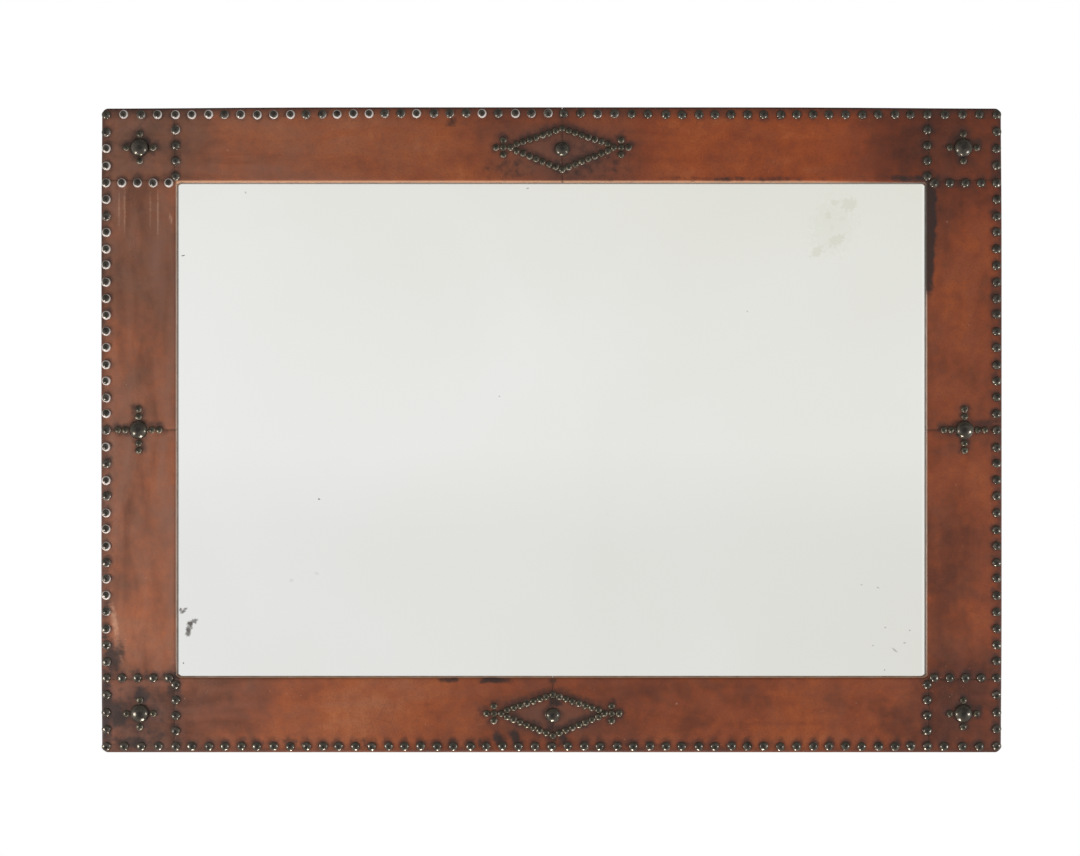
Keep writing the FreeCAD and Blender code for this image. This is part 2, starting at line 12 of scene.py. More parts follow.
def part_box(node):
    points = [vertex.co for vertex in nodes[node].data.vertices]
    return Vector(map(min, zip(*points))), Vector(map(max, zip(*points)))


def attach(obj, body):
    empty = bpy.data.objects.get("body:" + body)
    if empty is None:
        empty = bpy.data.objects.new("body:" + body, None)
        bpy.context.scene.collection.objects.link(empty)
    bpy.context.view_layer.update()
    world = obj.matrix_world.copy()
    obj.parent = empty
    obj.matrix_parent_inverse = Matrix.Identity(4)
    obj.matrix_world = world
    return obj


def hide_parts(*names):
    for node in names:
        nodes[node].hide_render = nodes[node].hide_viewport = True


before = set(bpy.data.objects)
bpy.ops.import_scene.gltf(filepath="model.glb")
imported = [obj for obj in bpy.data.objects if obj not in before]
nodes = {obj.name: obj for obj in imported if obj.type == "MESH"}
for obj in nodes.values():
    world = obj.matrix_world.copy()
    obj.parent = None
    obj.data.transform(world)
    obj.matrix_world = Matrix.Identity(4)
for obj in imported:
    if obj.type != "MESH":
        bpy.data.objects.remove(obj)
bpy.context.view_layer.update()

root = "frame"
print("frame loaded:", len(nodes), "pieces")


# Names of the pieces

levels = ("top", "bottom")
flanks = ("left", "right")
corners = [(flank, level) for level in levels for flank in flanks]
railHides = {level + "_" + flank + "_rail_hide": level for flank, level in corners}
stileHides = {flank + "_" + half + "_stile_hide": flank for flank in flanks for half in ("upper", "lower")}
cornerHides = {level + "_" + flank + "_corner_hide": (flank, level) for flank, level in corners}
smallNails = ["corner_cluster_nails", "stile_cross_nails", "top_diamond_nails", "bottom_diamond_nails"]
nailNodes = [edge + "_border_nails" for edge in levels + flanks]
nailNodes += [level + "_" + flank + "_seam_nails" for flank, level in corners]
nailNodes += ["corner_bosses", "stile_bosses", "diamond_bosses"] + smallNails


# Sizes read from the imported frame

hideBoxes = [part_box(name) for name in list(railHides) + list(stileHides) + list(cornerHides)]
outerLow = Vector(map(min, *[low for low, high in hideBoxes]))
outerHigh = Vector(map(max, *[high for low, high in hideBoxes]))
hideFront = outerLow.y
hideBack = outerHigh.y
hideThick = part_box("top_rail")[0].y - hideFront
sightLow = Vector((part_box("left_upper_stile_hide")[1].x, 0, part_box("bottom_left_rail_hide")[1].z))
sightHigh = Vector((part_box("right_upper_stile_hide")[0].x, 0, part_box("top_left_rail_hide")[0].z))
faceWidth = sightLow.z - outerLow.z
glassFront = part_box("mirror_plate")[0].y
middleZ = (outerLow.z + outerHigh.z) / 2


# Small helpers

def tint(red, green, blue):  # a colour as a screen shows it, 0 to 255
    parts = [part / 255 for part in (red, green, blue)]
    return tuple(p / 12.92 if p <= 0.04045 else ((p + 0.055) / 1.055) ** 2.4 for p in parts) + (1.0,)


def smooth(low, high, value):
    share = np.clip((value - low) / (high - low), 0, 1)
    return share * share * (3 - 2 * share)


def fade(low, high, value):  # from one down to nothing
    return 1 - smooth(low, high, value)


def steps(start, end, spacing):  # even marks from start up to but not at end
    count = max(1, round(abs(end - start) / spacing))
    return [start + (end - start) * index / count for index in range(count)]


def turns(count):  # angles evenly round a circle
    return [2 * math.pi * index / count for index in range(count)]


def ringFaces(first, rings, count):  # quads between rings of count points each
    faces = []
    for low in range(first, first + (rings - 1) * count, count):
        for side in range(count):
            after = (side + 1) % count
            faces.append((low + side, low + after, low + count + after, low + count + side))
    return faces


def gridFaces(rows, columns):
    return [(r * columns + c, r * columns + c + 1, (r + 1) * columns + c + 1, (r + 1) * columns + c)
            for r in range(rows - 1) for c in range(columns - 1)]


def makeObject(name, data):
    piece = bpy.data.objects.new(name, data)
    bpy.context.scene.collection.objects.link(piece)
    return piece


def softShade(mesh, sharpAngle):  # smooth, but for edges over this many degrees
    mesh.shade_smooth()
    mesh.set_sharp_from_angle(angle=math.radians(sharpAngle))


def standIn(node, suffix, mesh, material, sharpAngle):  # takes a CAD node's place
    softShade(mesh, sharpAngle)
    mesh.materials.clear()
    mesh.materials.append(material)
    piece = makeObject(node + suffix, mesh)
    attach(piece, root)
    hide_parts(node)
    return piece


def storeValues(mesh, values):  # numbers on the points, which the finishes read by name
    for name, numbers in values.items():
        layer = mesh.attributes.new(name, "FLOAT", "POINT")
        layer.data.foreach_set("value", np.asarray(numbers, dtype=np.float32))


def faceOutward(mesh):
    shape = bmesh.new()
    shape.from_mesh(mesh)
    bmesh.ops.recalc_face_normals(shape, faces=shape.faces)
    shape.to_mesh(mesh)
    shape.free()


# Shader helpers

wiring = {}  # the tree that new nodes go to


def connect(node, inputs):
    for key, value in inputs.items():
        if isinstance(value, bpy.types.NodeSocket):
            wiring["tree"].links.new(value, node.inputs[key])
        else:
            node.inputs[key].default_value = value


def add(kind, inputs=None, **settings):
    node = wiring["tree"].nodes.new(kind)
    for key, value in settings.items():
        setattr(node, key, value)
    connect(node, inputs or {})
    return node


def mixColour(share, first, second, blend="MIX"):
    inputs = {0: share, 6: first, 7: second}
    return add("ShaderNodeMix", inputs, data_type="RGBA", blend_type=blend).outputs[2]


def mixValue(share, first, second):
    return add("ShaderNodeMix", {0: share, 2: first, 3: second}).outputs[0]


def calc(operation, first, second=0.0, clamp=False):
    return add("ShaderNodeMath", {0: first, 1: second}, operation=operation, use_clamp=clamp).outputs[0]


def chain(operation, *values):
    total = values[0]
    for value in values[1:]:
        total = calc(operation, total, value)
    return total


plus = partial(chain, "ADD")
less = partial(chain, "SUBTRACT")
times = partial(chain, "MULTIPLY")
larger = partial(chain, "MAXIMUM")


def vectorCalc(operation, *values):
    return add("ShaderNodeVectorMath", dict(enumerate(values)), operation=operation).outputs


def span(value, low, high, outLow=0.0, outHigh=1.0, kind="LINEAR"):
    inputs = {0: value, 1: low, 2: high, 3: outLow, 4: outHigh}
    return add("ShaderNodeMapRange", inputs, interpolation_type=kind).outputs[0]


def cloud(vector, scale, detail=4.0, rough=0.55, warp=0.0):
    inputs = {"Vector": vector, "Scale": scale, "Detail": detail, "Roughness": rough, "Distortion": warp}
    return add("ShaderNodeTexNoise", inputs).outputs[0]


def cellGap(vector, scale, feature="F1"):  # distance to the middle of a cell, or to its edge
    inputs = {"Vector": vector, "Scale": scale}
    return add("ShaderNodeTexVoronoi", inputs, feature=feature).outputs["Distance"]


def stretched(vector, scale):
    return add("ShaderNodeMapping", {"Vector": vector, "Scale": scale}).outputs[0]


def rotated(vector, angles):
    inputs = {"Vector": vector, "Rotation": angles}
    return add("ShaderNodeVectorRotate", inputs, rotation_type="EULER_XYZ").outputs[0]


def painted(name):  # a value stored on the mesh
    return add("ShaderNodeAttribute", attribute_name=name).outputs["Fac"]


def colourRamp(value, stops):
    node = add("ShaderNodeValToRGB", {0: value})
    ramp = node.color_ramp
    while len(ramp.elements) < len(stops):
        ramp.elements.new(1.0)
    for element, (at, colour) in zip(ramp.elements, stops):
        element.position = at
        element.color = colour
    return node.outputs[0]


def newGroup(name, inputs, outputs):  # an input's number is its usual value, a word is its kind
    tree = bpy.data.node_groups.new(name, "ShaderNodeTree")
    for label, given in inputs.items():
        kind = given if isinstance(given, str) else "Float"
        socket = tree.interface.new_socket(name=label, in_out="INPUT", socket_type="NodeSocket" + kind)
        if kind == "Float":
            socket.default_value = given
    for label, kind in outputs.items():
        tree.interface.new_socket(name=label, in_out="OUTPUT", socket_type="NodeSocket" + kind)
    wiring["tree"] = tree
    return tree, add("NodeGroupInput").outputs, add("NodeGroupOutput")


def place(group, inputs):
    return add("ShaderNodeGroup", inputs, node_tree=group).outputs


def newMaterial(name, fixed=None):
    material = bpy.data.materials.new(name)
    material.use_nodes = True
    wiring["tree"] = material.node_tree
    shader = material.node_tree.nodes["Principled BSDF"]
    connect(shader, fixed or {})
    return material, shader, add("ShaderNodeTexCoord").outputs["Object"]


def finish(shader, inputs, height, strength, depth):  # wires a shader's inputs, and its bump
    relief = add("ShaderNodeBump", {"Strength": strength, "Distance": depth, "Height": height})
    connect(shader, {**inputs, "Normal": relief.outputs[0]})


# Effects that several finishes share

def makeMottle():
    tree, given, out = newGroup("mottle", {"Vector": "Vector", "Broad": 9.0, "Close": 60.0},
                                {"Broad Patch": "Float", "Close Patch": "Float"})
    connect(out, {"Broad Patch": cloud(given["Vector"], given["Broad"], 3.0, 0.55, 0.4),
                  "Close Patch": cloud(given["Vector"], given["Close"], 6.0, 0.62, 0.2)})
    return tree


def makeRagged():  # a stored value turned into a mask with a broken edge
    inputs = {"Vector": "Vector", "Value": 0.0, "Scale": 120.0, "Break": 0.5, "Low": 0.0, "High": 1.0}
    tree, given, out = newGroup("raggedMask", inputs, {"Mask": "Float"})
    roughened = less(cloud(given["Vector"], given["Scale"], 5.0, 0.6), 0.5)
    shifted = plus(given["Value"], times(roughened, given["Break"]))
    connect(out, {"Mask": span(shifted, given["Low"], given["High"], kind="SMOOTHSTEP")})
    return tree


grainLook = {
    "knotCells": (2.4, 4.5, 4.5),   # one knot in each, stretched along the timber
    "figure": (0.55, 17.0, 17.0),
    "bands": 11.0,
    "fibre": (9.0, 900.0, 900.0),
    "grime": (2.5, 12.0, 12.0),
    "knot": tint(70, 50, 36),
    "relief": 0.5, "reliefDepth": 0.0006,
}


def makeGrain():  # timber figure running along X
    inputs = {"Vector": "Vector", "Light": "Color", "Dark": "Color", "Age": 0.5}
    tree, given, out = newGroup("timberGrain", inputs, {"Color": "Color", "Height": "Float"})
    along = given["Vector"]
    knots = cellGap(stretched(along, grainLook["knotCells"]), 1.0)
    around = span(knots, 0.30, 0.04)  # the figure swells round each knot
    figure = cloud(stretched(along, grainLook["figure"]), 3.0, 3.0, 0.5, 0.5)
    rings = plus(figure, times(around, 0.35))
    bands = calc("PINGPONG", times(rings, grainLook["bands"]), 1.0)
    fibre = cloud(stretched(along, grainLook["fibre"]), 1.0, 3.0, 0.7)
    grime = cloud(stretched(along, grainLook["grime"]), 1.0, 5.0, 0.65)
    colour = mixColour(span(bands, 0.25, 1.0), given["Light"], given["Dark"])
    colour = mixColour(span(fibre, 0.35, 0.75, 0.0, 0.4), colour, given["Dark"])
    knot = span(knots, 0.065, 0.045, 0.0, 0.85)
    aged = times(span(grime, 0.46, 0.75), given["Age"])
    colour = mixColour(larger(knot, aged), colour, grainLook["knot"])
    height = plus(times(fibre, 0.7), times(bands, 0.3))
    connect(out, {"Color": colour, "Height": height})
    return tree


mottle = makeMottle()
ragged = makeRagged()
timberGrain = makeGrain()


# Nails: places, sizes and domes

nailLook = {
    "sides": 28, "rings": 9, "sharp": 50, "seed": 4,
    "rim": 0.0007,          # straight edge under the dome
    "rimIn": 0.985, "rimCrown": 0.03,       # its corners, eased, and their share of the dome
    "tilt": 0.07,           # hand-driven nails lean a little
    "dent": 0.00036, "dentScale": 1.3,
    "borderLow": 0.005, "borderHigh": 0.006,  # head radius of the border nails
    "faint": 0.26,          # wear that every nail may have
    "small": 0.17,          # the small ones get a little pale ring all round, a painted highlight
    "sparedShare": 0.24,    # of the worn rows, left mostly dark
    "spared": 0.36,
    "leastWorn": 0.55,      # of the rest
    # where the worn rows lie, start and end, as shares of the frame from its top and left
    "topRow": (0.02, 0.05), "topStart": (0.008, 0.02), "topEnd": (0.34, 0.66),
    "leftRow": (0.01, 0.03), "leftStart": (0.03, 0.05), "leftEnd": (0.66, 0.92),
    "seamRow": 0.1155, "seamBand": (0.004, 0.008), "seamEnd": (0.08, 0.10),
    "glintTurn": 50,         # the pale ring, worn rim and painted highlight, is widest at the lower right of each head
    "glintSwing": 0.12,
    "shank": 0.0009, "shankSides": 8, "shankLength": 0.011, "point": 0.25,
}


def islands(name):  # low and high corner of each separate solid in a CAD node
    shape = bmesh.new()
    shape.from_mesh(nodes[name].data)
    bmesh.ops.remove_doubles(shape, verts=shape.verts, dist=1e-6)
    seen = set()
    found = []
    for start in shape.verts:
        if start in seen:
            continue
        seen.add(start)
        island = [start]
        for vert in island:
            for edge in vert.link_edges:
                other = edge.other_vert(vert)
                if other not in seen:
                    seen.add(other)
                    island.append(other)
        points = np.array([vert.co for vert in island])
        found.append((Vector(points.min(0)), Vector(points.max(0))))
    shape.free()
    return found


def nailSpots(name):  # x, z, head radius and dome height of each nail
    spots = []
    for low, high in islands(name):
        middle = (low + high) / 2
        spots.append((middle.x, middle.z, (high.x - low.x) / 2, hideFront - low.y))
    return sorted(spots)


def rubAndGlintAt(spot, chance):  # how pale a nail's rim is: worn most along the top and left, with painted highlight on the small ones
    look = nailLook
    x, z, radius, _ = spot
    if radius < look["borderLow"]:
        return look["small"] + look["faint"] * chance
    fromTop = (outerHigh.z - z) / (outerHigh.z - outerLow.z)
    fromLeft = (x - outerLow.x) / (outerHigh.x - outerLow.x)
    top = fade(*look["topRow"], fromTop) * smooth(*look["topStart"], fromLeft)
    left = fade(*look["leftRow"], fromLeft) * smooth(*look["leftStart"], fromTop)
    seam = fade(*look["seamBand"], abs(fromTop - look["seamRow"])) * fade(*look["seamEnd"], fromLeft)
    rows = (top * fade(*look["topEnd"], fromLeft), left * fade(*look["leftEnd"], fromTop), seam)
    least = look["leastWorn"]
    kept = look["spared"] if chance < look["sparedShare"] else least + (1 - least) * chance
    ringRubGlint = float(max(rows)) * kept if radius < look["borderHigh"] else 0.0  # not on bosses
    return ringRubGlint + look["faint"] * chance


def domeProfile(radius, dome):  # reach, depth and share of the way to the crown, from the seat up
    rim = nailLook["rim"]
    lift = dome - rim
    ball = (radius ** 2 + lift ** 2) / (2 * lift)
    full = math.asin(min(1.0, radius / ball))
    eased = radius * nailLook["rimIn"]
    profile = [(eased, 0.0, 0.0), (radius, -rim / 2, 0.0), (eased, -rim, nailLook["rimCrown"])]
    for ring in range(1, nailLook["rings"]):
        share = ring / nailLook["rings"]
        angle = full * (1 - share)
        profile.append((ball * math.sin(angle), -dome + ball * (1 - math.cos(angle)), share))
    return profile


def ringPoint(reach, depth, turn):
    return Vector((reach * math.cos(turn), depth, reach * math.sin(turn)))


def addNail(spot, chance, verts, faces, values):
    x, z, radius, dome = spot
    tilt = nailLook["tilt"]
    lean = Matrix.Rotation(chance.gauss(0, tilt), 3, "X") @ Matrix.Rotation(chance.gauss(0, tilt), 3, "Z")
    # how pale this head's rim is: wear, and painted highlight
    wear = rubAndGlintAt(spot, chance.random())
    offset = Vector((chance.uniform(-9, 9), chance.uniform(-9, 9), chance.uniform(-9, 9)))
    seat = Vector((x, hideFront, z))
    first = len(verts)

    def put(point, crown=0.0, rubAndGlint=0.0, lowSide=0.0):
        verts.append(seat + point)
        values["crown"].append(crown)
        values["rubAndGlint"].append(rubAndGlint)
        values["lowSide"].append(lowSide)

    sides = nailLook["sides"]
    profile = domeProfile(radius, dome)
    for reach, depth, height in profile:
        for turn in turns(sides):
            point = ringPoint(reach, depth, turn)
            if height > 0:
                point = lean @ point
                dent = noise.noise(point / radius * nailLook["dentScale"] + offset)
                point *= 1 + nailLook["dent"] / radius * dent
            # painted highlight: the pale ring grows toward the lower right of each head
            toGlint = math.cos(turn + math.radians(nailLook["glintTurn"]))
            swing = 1 - nailLook["glintSwing"] * (1 - toGlint)
            put(point, height, wear * swing, toGlint * reach / radius)
    top = len(verts)
    put(lean @ Vector((0, -dome, 0)), 1.0, wear)
    faces += ringFaces(first, len(profile), sides)
    last = top - sides
    faces += [(last + side, last + (side + 1) % sides, top) for side in range(sides)]

    shank = len(verts)
    count = nailLook["shankSides"]
    for depth, share in ((0.0, 1), (nailLook["shankLength"], nailLook["point"])):
        for turn in turns(count):
            put(ringPoint(nailLook["shank"] * share, depth, turn))
    for side in range(count):
        after = (side + 1) % count
        faces.append((shank + after, shank + side, shank + count + side, shank + count + after))
    faces.append(tuple(shank + count + side for side in range(count)))
    for side in range(sides):  # the flat under the head, out from the shank
        near = shank + round(side * count / sides) % count
        nextNear = shank + round((side + 1) * count / sides) % count
        under = [first + (side + 1) % sides, first + side, near]
        faces.append(tuple(under + ([nextNear] if nextNear != near else [])))


def makeNails(plain, bronze):
    chance = random.Random(nailLook["seed"])
    spots = []
    for name in nailNodes:
        verts, faces = [], []
        values = {"crown": [], "rubAndGlint": [], "lowSide": []}
        for spot in nailSpots(name):
            addNail(spot, chance, verts, faces, values)
            spots.append(spot)
        mesh = bpy.data.meshes.new(name + "_domes")
        mesh.from_pydata(verts, [], faces)
        storeValues(mesh, values)
        faceOutward(mesh)
        metal = bronze if name in smallNails else plain
        standIn(name, "_domes", mesh, metal, nailLook["sharp"])
    print("nails driven:", len(spots))
    return spots


# Hide: the frame's cover

hideLook = {
    "spacing": 0.0024,      # mesh step on the face
    "coarse": 0.0045,       # mesh step on sides and back
    "fold": 0.003,
    "turnover": 0.020,
    "tuck": 0.0065,
    "cornerRadius": 0.008,
    "sightCorner": 0.0042,  # the hide bunches round the inner corners
    "sightEase": 0.012,     # and lies flat again this far from the glass
    "thick": 0.0018,
    "weld": 2e-6, "sharp": 55,
    "frontBand": 0.002,     # faces this near the front tell which way is out
    "faceEdge": (0.004, 0.001),   # depth where the face ends, and where it is full
    "faceShare": 0.3,       # of the face, over which nails are looked for
    "rimShare": 0.05,       # of the face, over which dirt lies along the rim
    "sootFacing": -0.1,     # soot and painted shade lie where the hide looks forward, its normal's y under this
    "nearNails": 3,
    "noNail": 0.05,         # distance to a nail, off the face
    "puff": 0.00055, "puffReach": 0.005,   # stands proud between nails
    "edgeEase": (-0.001, 0.004),           # but not at the outer edge
    "ripple": 0.00022, "rippleClear": 0.004,
    "rippleScale": 34, "fineScale": 90, "fineShare": 0.5,
    "seamDrop": 0.0007, "seamReach": 0.0016, "seamClear": 0.002,
    "topDraw": 0.0015, "topReach": 0.17,   # the edges are drawn in towards the corners
    "sideDraw": 0.0010, "sideReach": 0.09,
    "drawBand": 0.014,
    "shadeRise": 0.0020,     # dirt and painted shadow gather above the nails
    "haloLeast": 0.0054,    # as wide round the small ones as round the rest
    "topShade": 0.55,       # and the top edge is darker than the others, painted shade
    "topLine": (0.0028, 0.001), "topBlack": 1.3,   # painted shade, black along its very edge
    "sideDirt": 0.0062,     # less on the sides and back
    "foldHighlight": 0.0040, "foldHighlightShare": 0.72,         # painted highlight, pale along the upper sight edge
    "foldHighlightEnd": (0.27, 0.43), "foldHighlightLoss": 0.6,      # less to the right
    "veilX": (-0.50, -0.02), "veilZ": (0.06, 0.13), "veilLeast": 0.4,    # a pale veil to the left, painted sheen
    "warmX": (-0.10, 0.25), "warmZ": (0.55, 0.72), "warmLeast": 0.25,    # redder to the right
}

# Marks of age on the face: middle x, middle z, half width, half height, lean in degrees, strength
sootMarks = [
    (-0.535, 0.116, 0.014, 0.024, 0.0, 0.95),  # lower left corner
    (-0.529, 0.047, 0.016, 0.02, 20.0, 1.0),
    (-0.512, 0.011, 0.028, 0.011, 0.0, 0.9),
    (-0.46, 0.083, 0.0095, 0.024, 0.0, 0.95),
    (-0.46, 0.035, 0.007, 0.03, 0.0, 0.6),
    (-0.4996, 0.07, 0.011, 0.013, 0.0, 1.0),
    (-0.4996, 0.046, 0.019, 0.019, 45.0, 0.62),
    (-0.501, 0.74, 0.017, 0.017, 45.0, 1.0),  # round the upper left boss
    (-0.495, 0.093, 0.055, 0.009, 0.0, 0.65),
    (-0.483, 0.026, 0.016, 0.018, 30.0, 0.6),
    (-0.545, 0.17, 0.008, 0.075, 0.0, 0.7),
    (-0.545, 0.05, 0.01, 0.07, 0.0, 1.0),
    (-0.5, 0.045, 0.05, 0.045, 0.0, 0.5),
    (-0.0645, 0.015, 0.0068, 0.0125, 24.0, 1.0),  # smears over the bottom row
    (-0.0447, 0.017, 0.0068, 0.014, 22.0, 1.0),
    (-0.024, 0.013, 0.005, 0.009, 6.0, 0.85),
    (-0.121, 0.012, 0.008, 0.008, 0.0, 0.9),
    (-0.083, 0.012, 0.008, 0.008, 0.0, 0.85),
    (-0.23, 0.012, 0.012, 0.008, 0.0, 0.7),
    (-0.32, 0.012, 0.012, 0.008, 0.0, 0.7),
    (0.015, 0.013, 0.012, 0.008, 0.0, 0.8),
    (0.095, 0.012, 0.008, 0.007, 0.0, 0.7),
    (0.004, 0.064, 0.011, 0.01, 0.0, 0.95),  # down the bottom seam
    (-0.001, 0.028, 0.008, 0.016, 0.0, 0.85),
    (0.009, 0.019, 0.01, 0.007, 0.0, 0.85),
    (-0.0785, 0.046, 0.0125, 0.0125, 45.0, 0.72),  # round the crosses of the bottom diamond
    (0.076, 0.046, 0.0125, 0.0125, 45.0, 0.55),
    (-0.126, 0.0885, 0.014, 0.0034, 0.0, 0.95),  # along the lower sight edge
    (-0.069, 0.088, 0.024, 0.004, 0.0, 1.0),
    (0.0, 0.087, 0.007, 0.0044, 0.0, 0.7),
    (0.0511, 0.725, 0.06, 0.036, 0.0, 0.52),  # about the top diamond
    (-0.052, 0.712, 0.038, 0.014, 0.0, 0.52),
    (-0.123, 0.772, 0.011, 0.009, 0.0, 0.6),
    (0.23, 0.7, 0.11, 0.0035, 0.0, 0.65),  # along the upper sight edge, right
    (0.44, 0.701, 0.034, 0.005, 0.0, 0.95),
    (0.456, 0.745, 0.006, 0.03, 0.0, 0.5),
    (-0.4575, 0.725, 0.007, 0.03, 0.0, 0.55),
    (-0.54, 0.755, 0.01, 0.03, 0.0, 0.45),
    (0.538, 0.4, 0.012, 0.012, 0.0, 0.7),
]
sootBands = [  # rubbed black beside the glass, upper right
    (0.4585, 0.656, 0.012, 0.05, -1.5, 1.3),
    (0.4585, 0.618, 0.0094, 0.066, -1.0, 1.25),
]
dullMarks = [  # gone dull brown about the diamonds
    (0.0122, 0.729, 0.08, 0.036, 0.0, 1.0),
    (0.0006, 0.043, 0.056, 0.02, 0.0, 1.0),
]
hazeMarks = [
    (-0.5277, 0.664, 0.0016, 0.026, 0.0, 0.52),  # runs below the seam nails, upper left
    (-0.5216, 0.662, 0.0016, 0.032, 0.0, 0.56),
    (-0.4892, 0.662, 0.0014, 0.03, 0.0, 0.5),
    (-0.4804, 0.658, 0.0016, 0.036, 0.0, 0.54),
    (-0.4648, 0.652, 0.002, 0.008, 10.0, 0.6),
    (-0.5334, 0.16, 0.0045, 0.026, 10.0, 0.55),  # pale rub, lower left
    (-0.529, 0.125, 0.0045, 0.022, 14.0, 0.42),
    (0.05, 0.078, 0.003, 0.0008, -20.0, 0.8),
    (0.153, 0.06, 0.0012, 0.002, 0.0, 0.6),
    (-0.093, 0.033, 0.012, 0.001, 12.0, 0.3),
    (0.33, 0.05, 0.003, 0.0012, 30.0, 0.45),
    (0.483, 0.648, 0.0014, 0.0014, 0.0, 0.6),
    (-0.395, 0.735, 0.0012, 0.0012, 0.0, 0.55),
]
# Broad tone of the face: x, z, reach, lighter (+) or darker (-)
toneMarks = [
    (-0.5, 0.745, 0.07, -0.22), (0.505, 0.74, 0.075, -0.39), (-0.505, 0.045, 0.06, -0.52),
    (0.505, 0.045, 0.07, -0.32), (-0.5, 0.2, 0.15, -0.08), (-0.5, 0.61, 0.12, -0.16),
    (-0.26, 0.75, 0.13, 0.16), (0.06, 0.735, 0.06, -0.1), (0.165, 0.745, 0.08, 0.29),
    (0.31, 0.745, 0.09, 0.25), (0.435, 0.742, 0.055, -0.19), (0.5, 0.61, 0.07, 0.16),
    (0.5, 0.48, 0.09, -0.13), (0.5, 0.28, 0.09, -0.1), (-0.4, 0.045, 0.07, -0.1),
    (-0.25, 0.05, 0.11, 0.2), (-0.12, 0.045, 0.06, 0.11), (0.105, 0.045, 0.075, -0.18),
    (0.3, 0.045, 0.14, 0.05), (-0.12, 0.745, 0.07, 0.19),
]


def markSum(marks, x, z, power=3.0):  # a higher power gives a squarer mark
    total = np.zeros(len(x))
    for markX, markZ, halfWidth, halfHeight, lean, strength in marks:
        turn = math.radians(lean)
        across = (x - markX) * math.cos(turn) + (z - markZ) * math.sin(turn)
        along = (z - markZ) * math.cos(turn) - (x - markX) * math.sin(turn)
        far = np.abs(across / halfWidth) ** power + np.abs(along / halfHeight) ** power
        total = np.maximum(total, strength * np.exp(-far))
    return total


def quarterBend(middle, radius, first, last, step=22.5):  # round a fold, from one outward way to another
    points = []
    for turn in steps(0, 90, step):
        angle = math.radians(turn)
        outward, facing = [a * math.cos(angle) + b * math.sin(angle) for a, b in zip(first, last)]
        points.append((middle[0] + radius * outward, middle[1] + radius * facing, outward, facing))
    return points


def foldedProfile(inside):  # section from the back turnover to the tuck: inset, depth and outward normal
    fold, bend = hideLook["fold"], hideThick
    fine, coarse = hideLook["spacing"], hideLook["coarse"]
    corner = hideLook["cornerRadius"]
    tuckEnd = faceWidth - bend - hideLook["tuck"]
    points = [(u, hideBack, 0, 1) for u in steps(hideLook["turnover"] if inside else corner, fold, coarse)]
    points += quarterBend((fold, hideBack - fold), fold, (0, 1), (-1, 0))
    points += [(0, y, -1, 0) for y in steps(hideBack - fold, hideFront + fold, coarse)]
    points += quarterBend((fold, hideFront + fold), fold, (-1, 0), (0, -1))
    if not inside:
        return points + [(u, hideFront, 0, -1) for u in steps(fold, corner, fine) + [corner]]
    points += [(u, hideFront, 0, -1) for u in steps(fold, faceWidth - fold, fine)]
    points += quarterBend((faceWidth - fold, hideFront + fold), fold, (0, -1), (1, 0))
    points += [(faceWidth, y, 1, 0) for y in steps(hideFront + fold, glassFront - bend, fine)]
    points += quarterBend((faceWidth - bend, glassFront - bend), bend, (1, 0), (0, 1), 30)
    return points + [(u, glassFront, 0, 1) for u in steps(faceWidth - bend, tuckEnd, coarse) + [tuckEnd]]


def onMember(member, along, inset):  # x and z of a point on a rail or stile
    if member == "top":
        return along, outerHigh.z - inset
    if member == "bottom":
        return along, outerLow.z + inset
    if member == "left":
        return outerLow.x + inset, along
    return outerHigh.x - inset, along


def straightCover(name, member):
    low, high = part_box(name)
    start, end = (low.x, high.x) if member in levels else (low.z, high.z)
    profile = foldedProfile(True)
    runs = steps(start, end, hideLook["spacing"]) + [end]
    bunch = hideLook["sightCorner"]
    eases = [float(smooth(faceWidth - hideLook["sightEase"], faceWidth, point[0])) for point in profile]
    zeroX, zeroZ = onMember(member, 0, 0)
    verts, normals, seam = [], [], []
    for along in runs:
        swell = 0.0
        if member in levels:
            toStile = min(along - sightLow.x, sightHigh.x - along)
            reach = bunch - min(max(toStile, 0.0), bunch)
            swell = bunch - math.sqrt(bunch ** 2 - reach ** 2)
        for (inset, depth, outward, facing), ease in zip(profile, eases):
            x, z = onMember(member, along, inset + swell * ease)
            verts.append((x, depth, z))
            nx, nz = onMember(member, 0, outward)
            normals.append((nx - zeroX, facing, nz - zeroZ))
            seam.append(min(along - start, end - along))
    length = sum(math.dist(a[:2], b[:2]) for a, b in zip(profile, profile[1:]))
    return verts, gridFaces(len(runs), len(profile)), normals, seam, (length, end - start), None


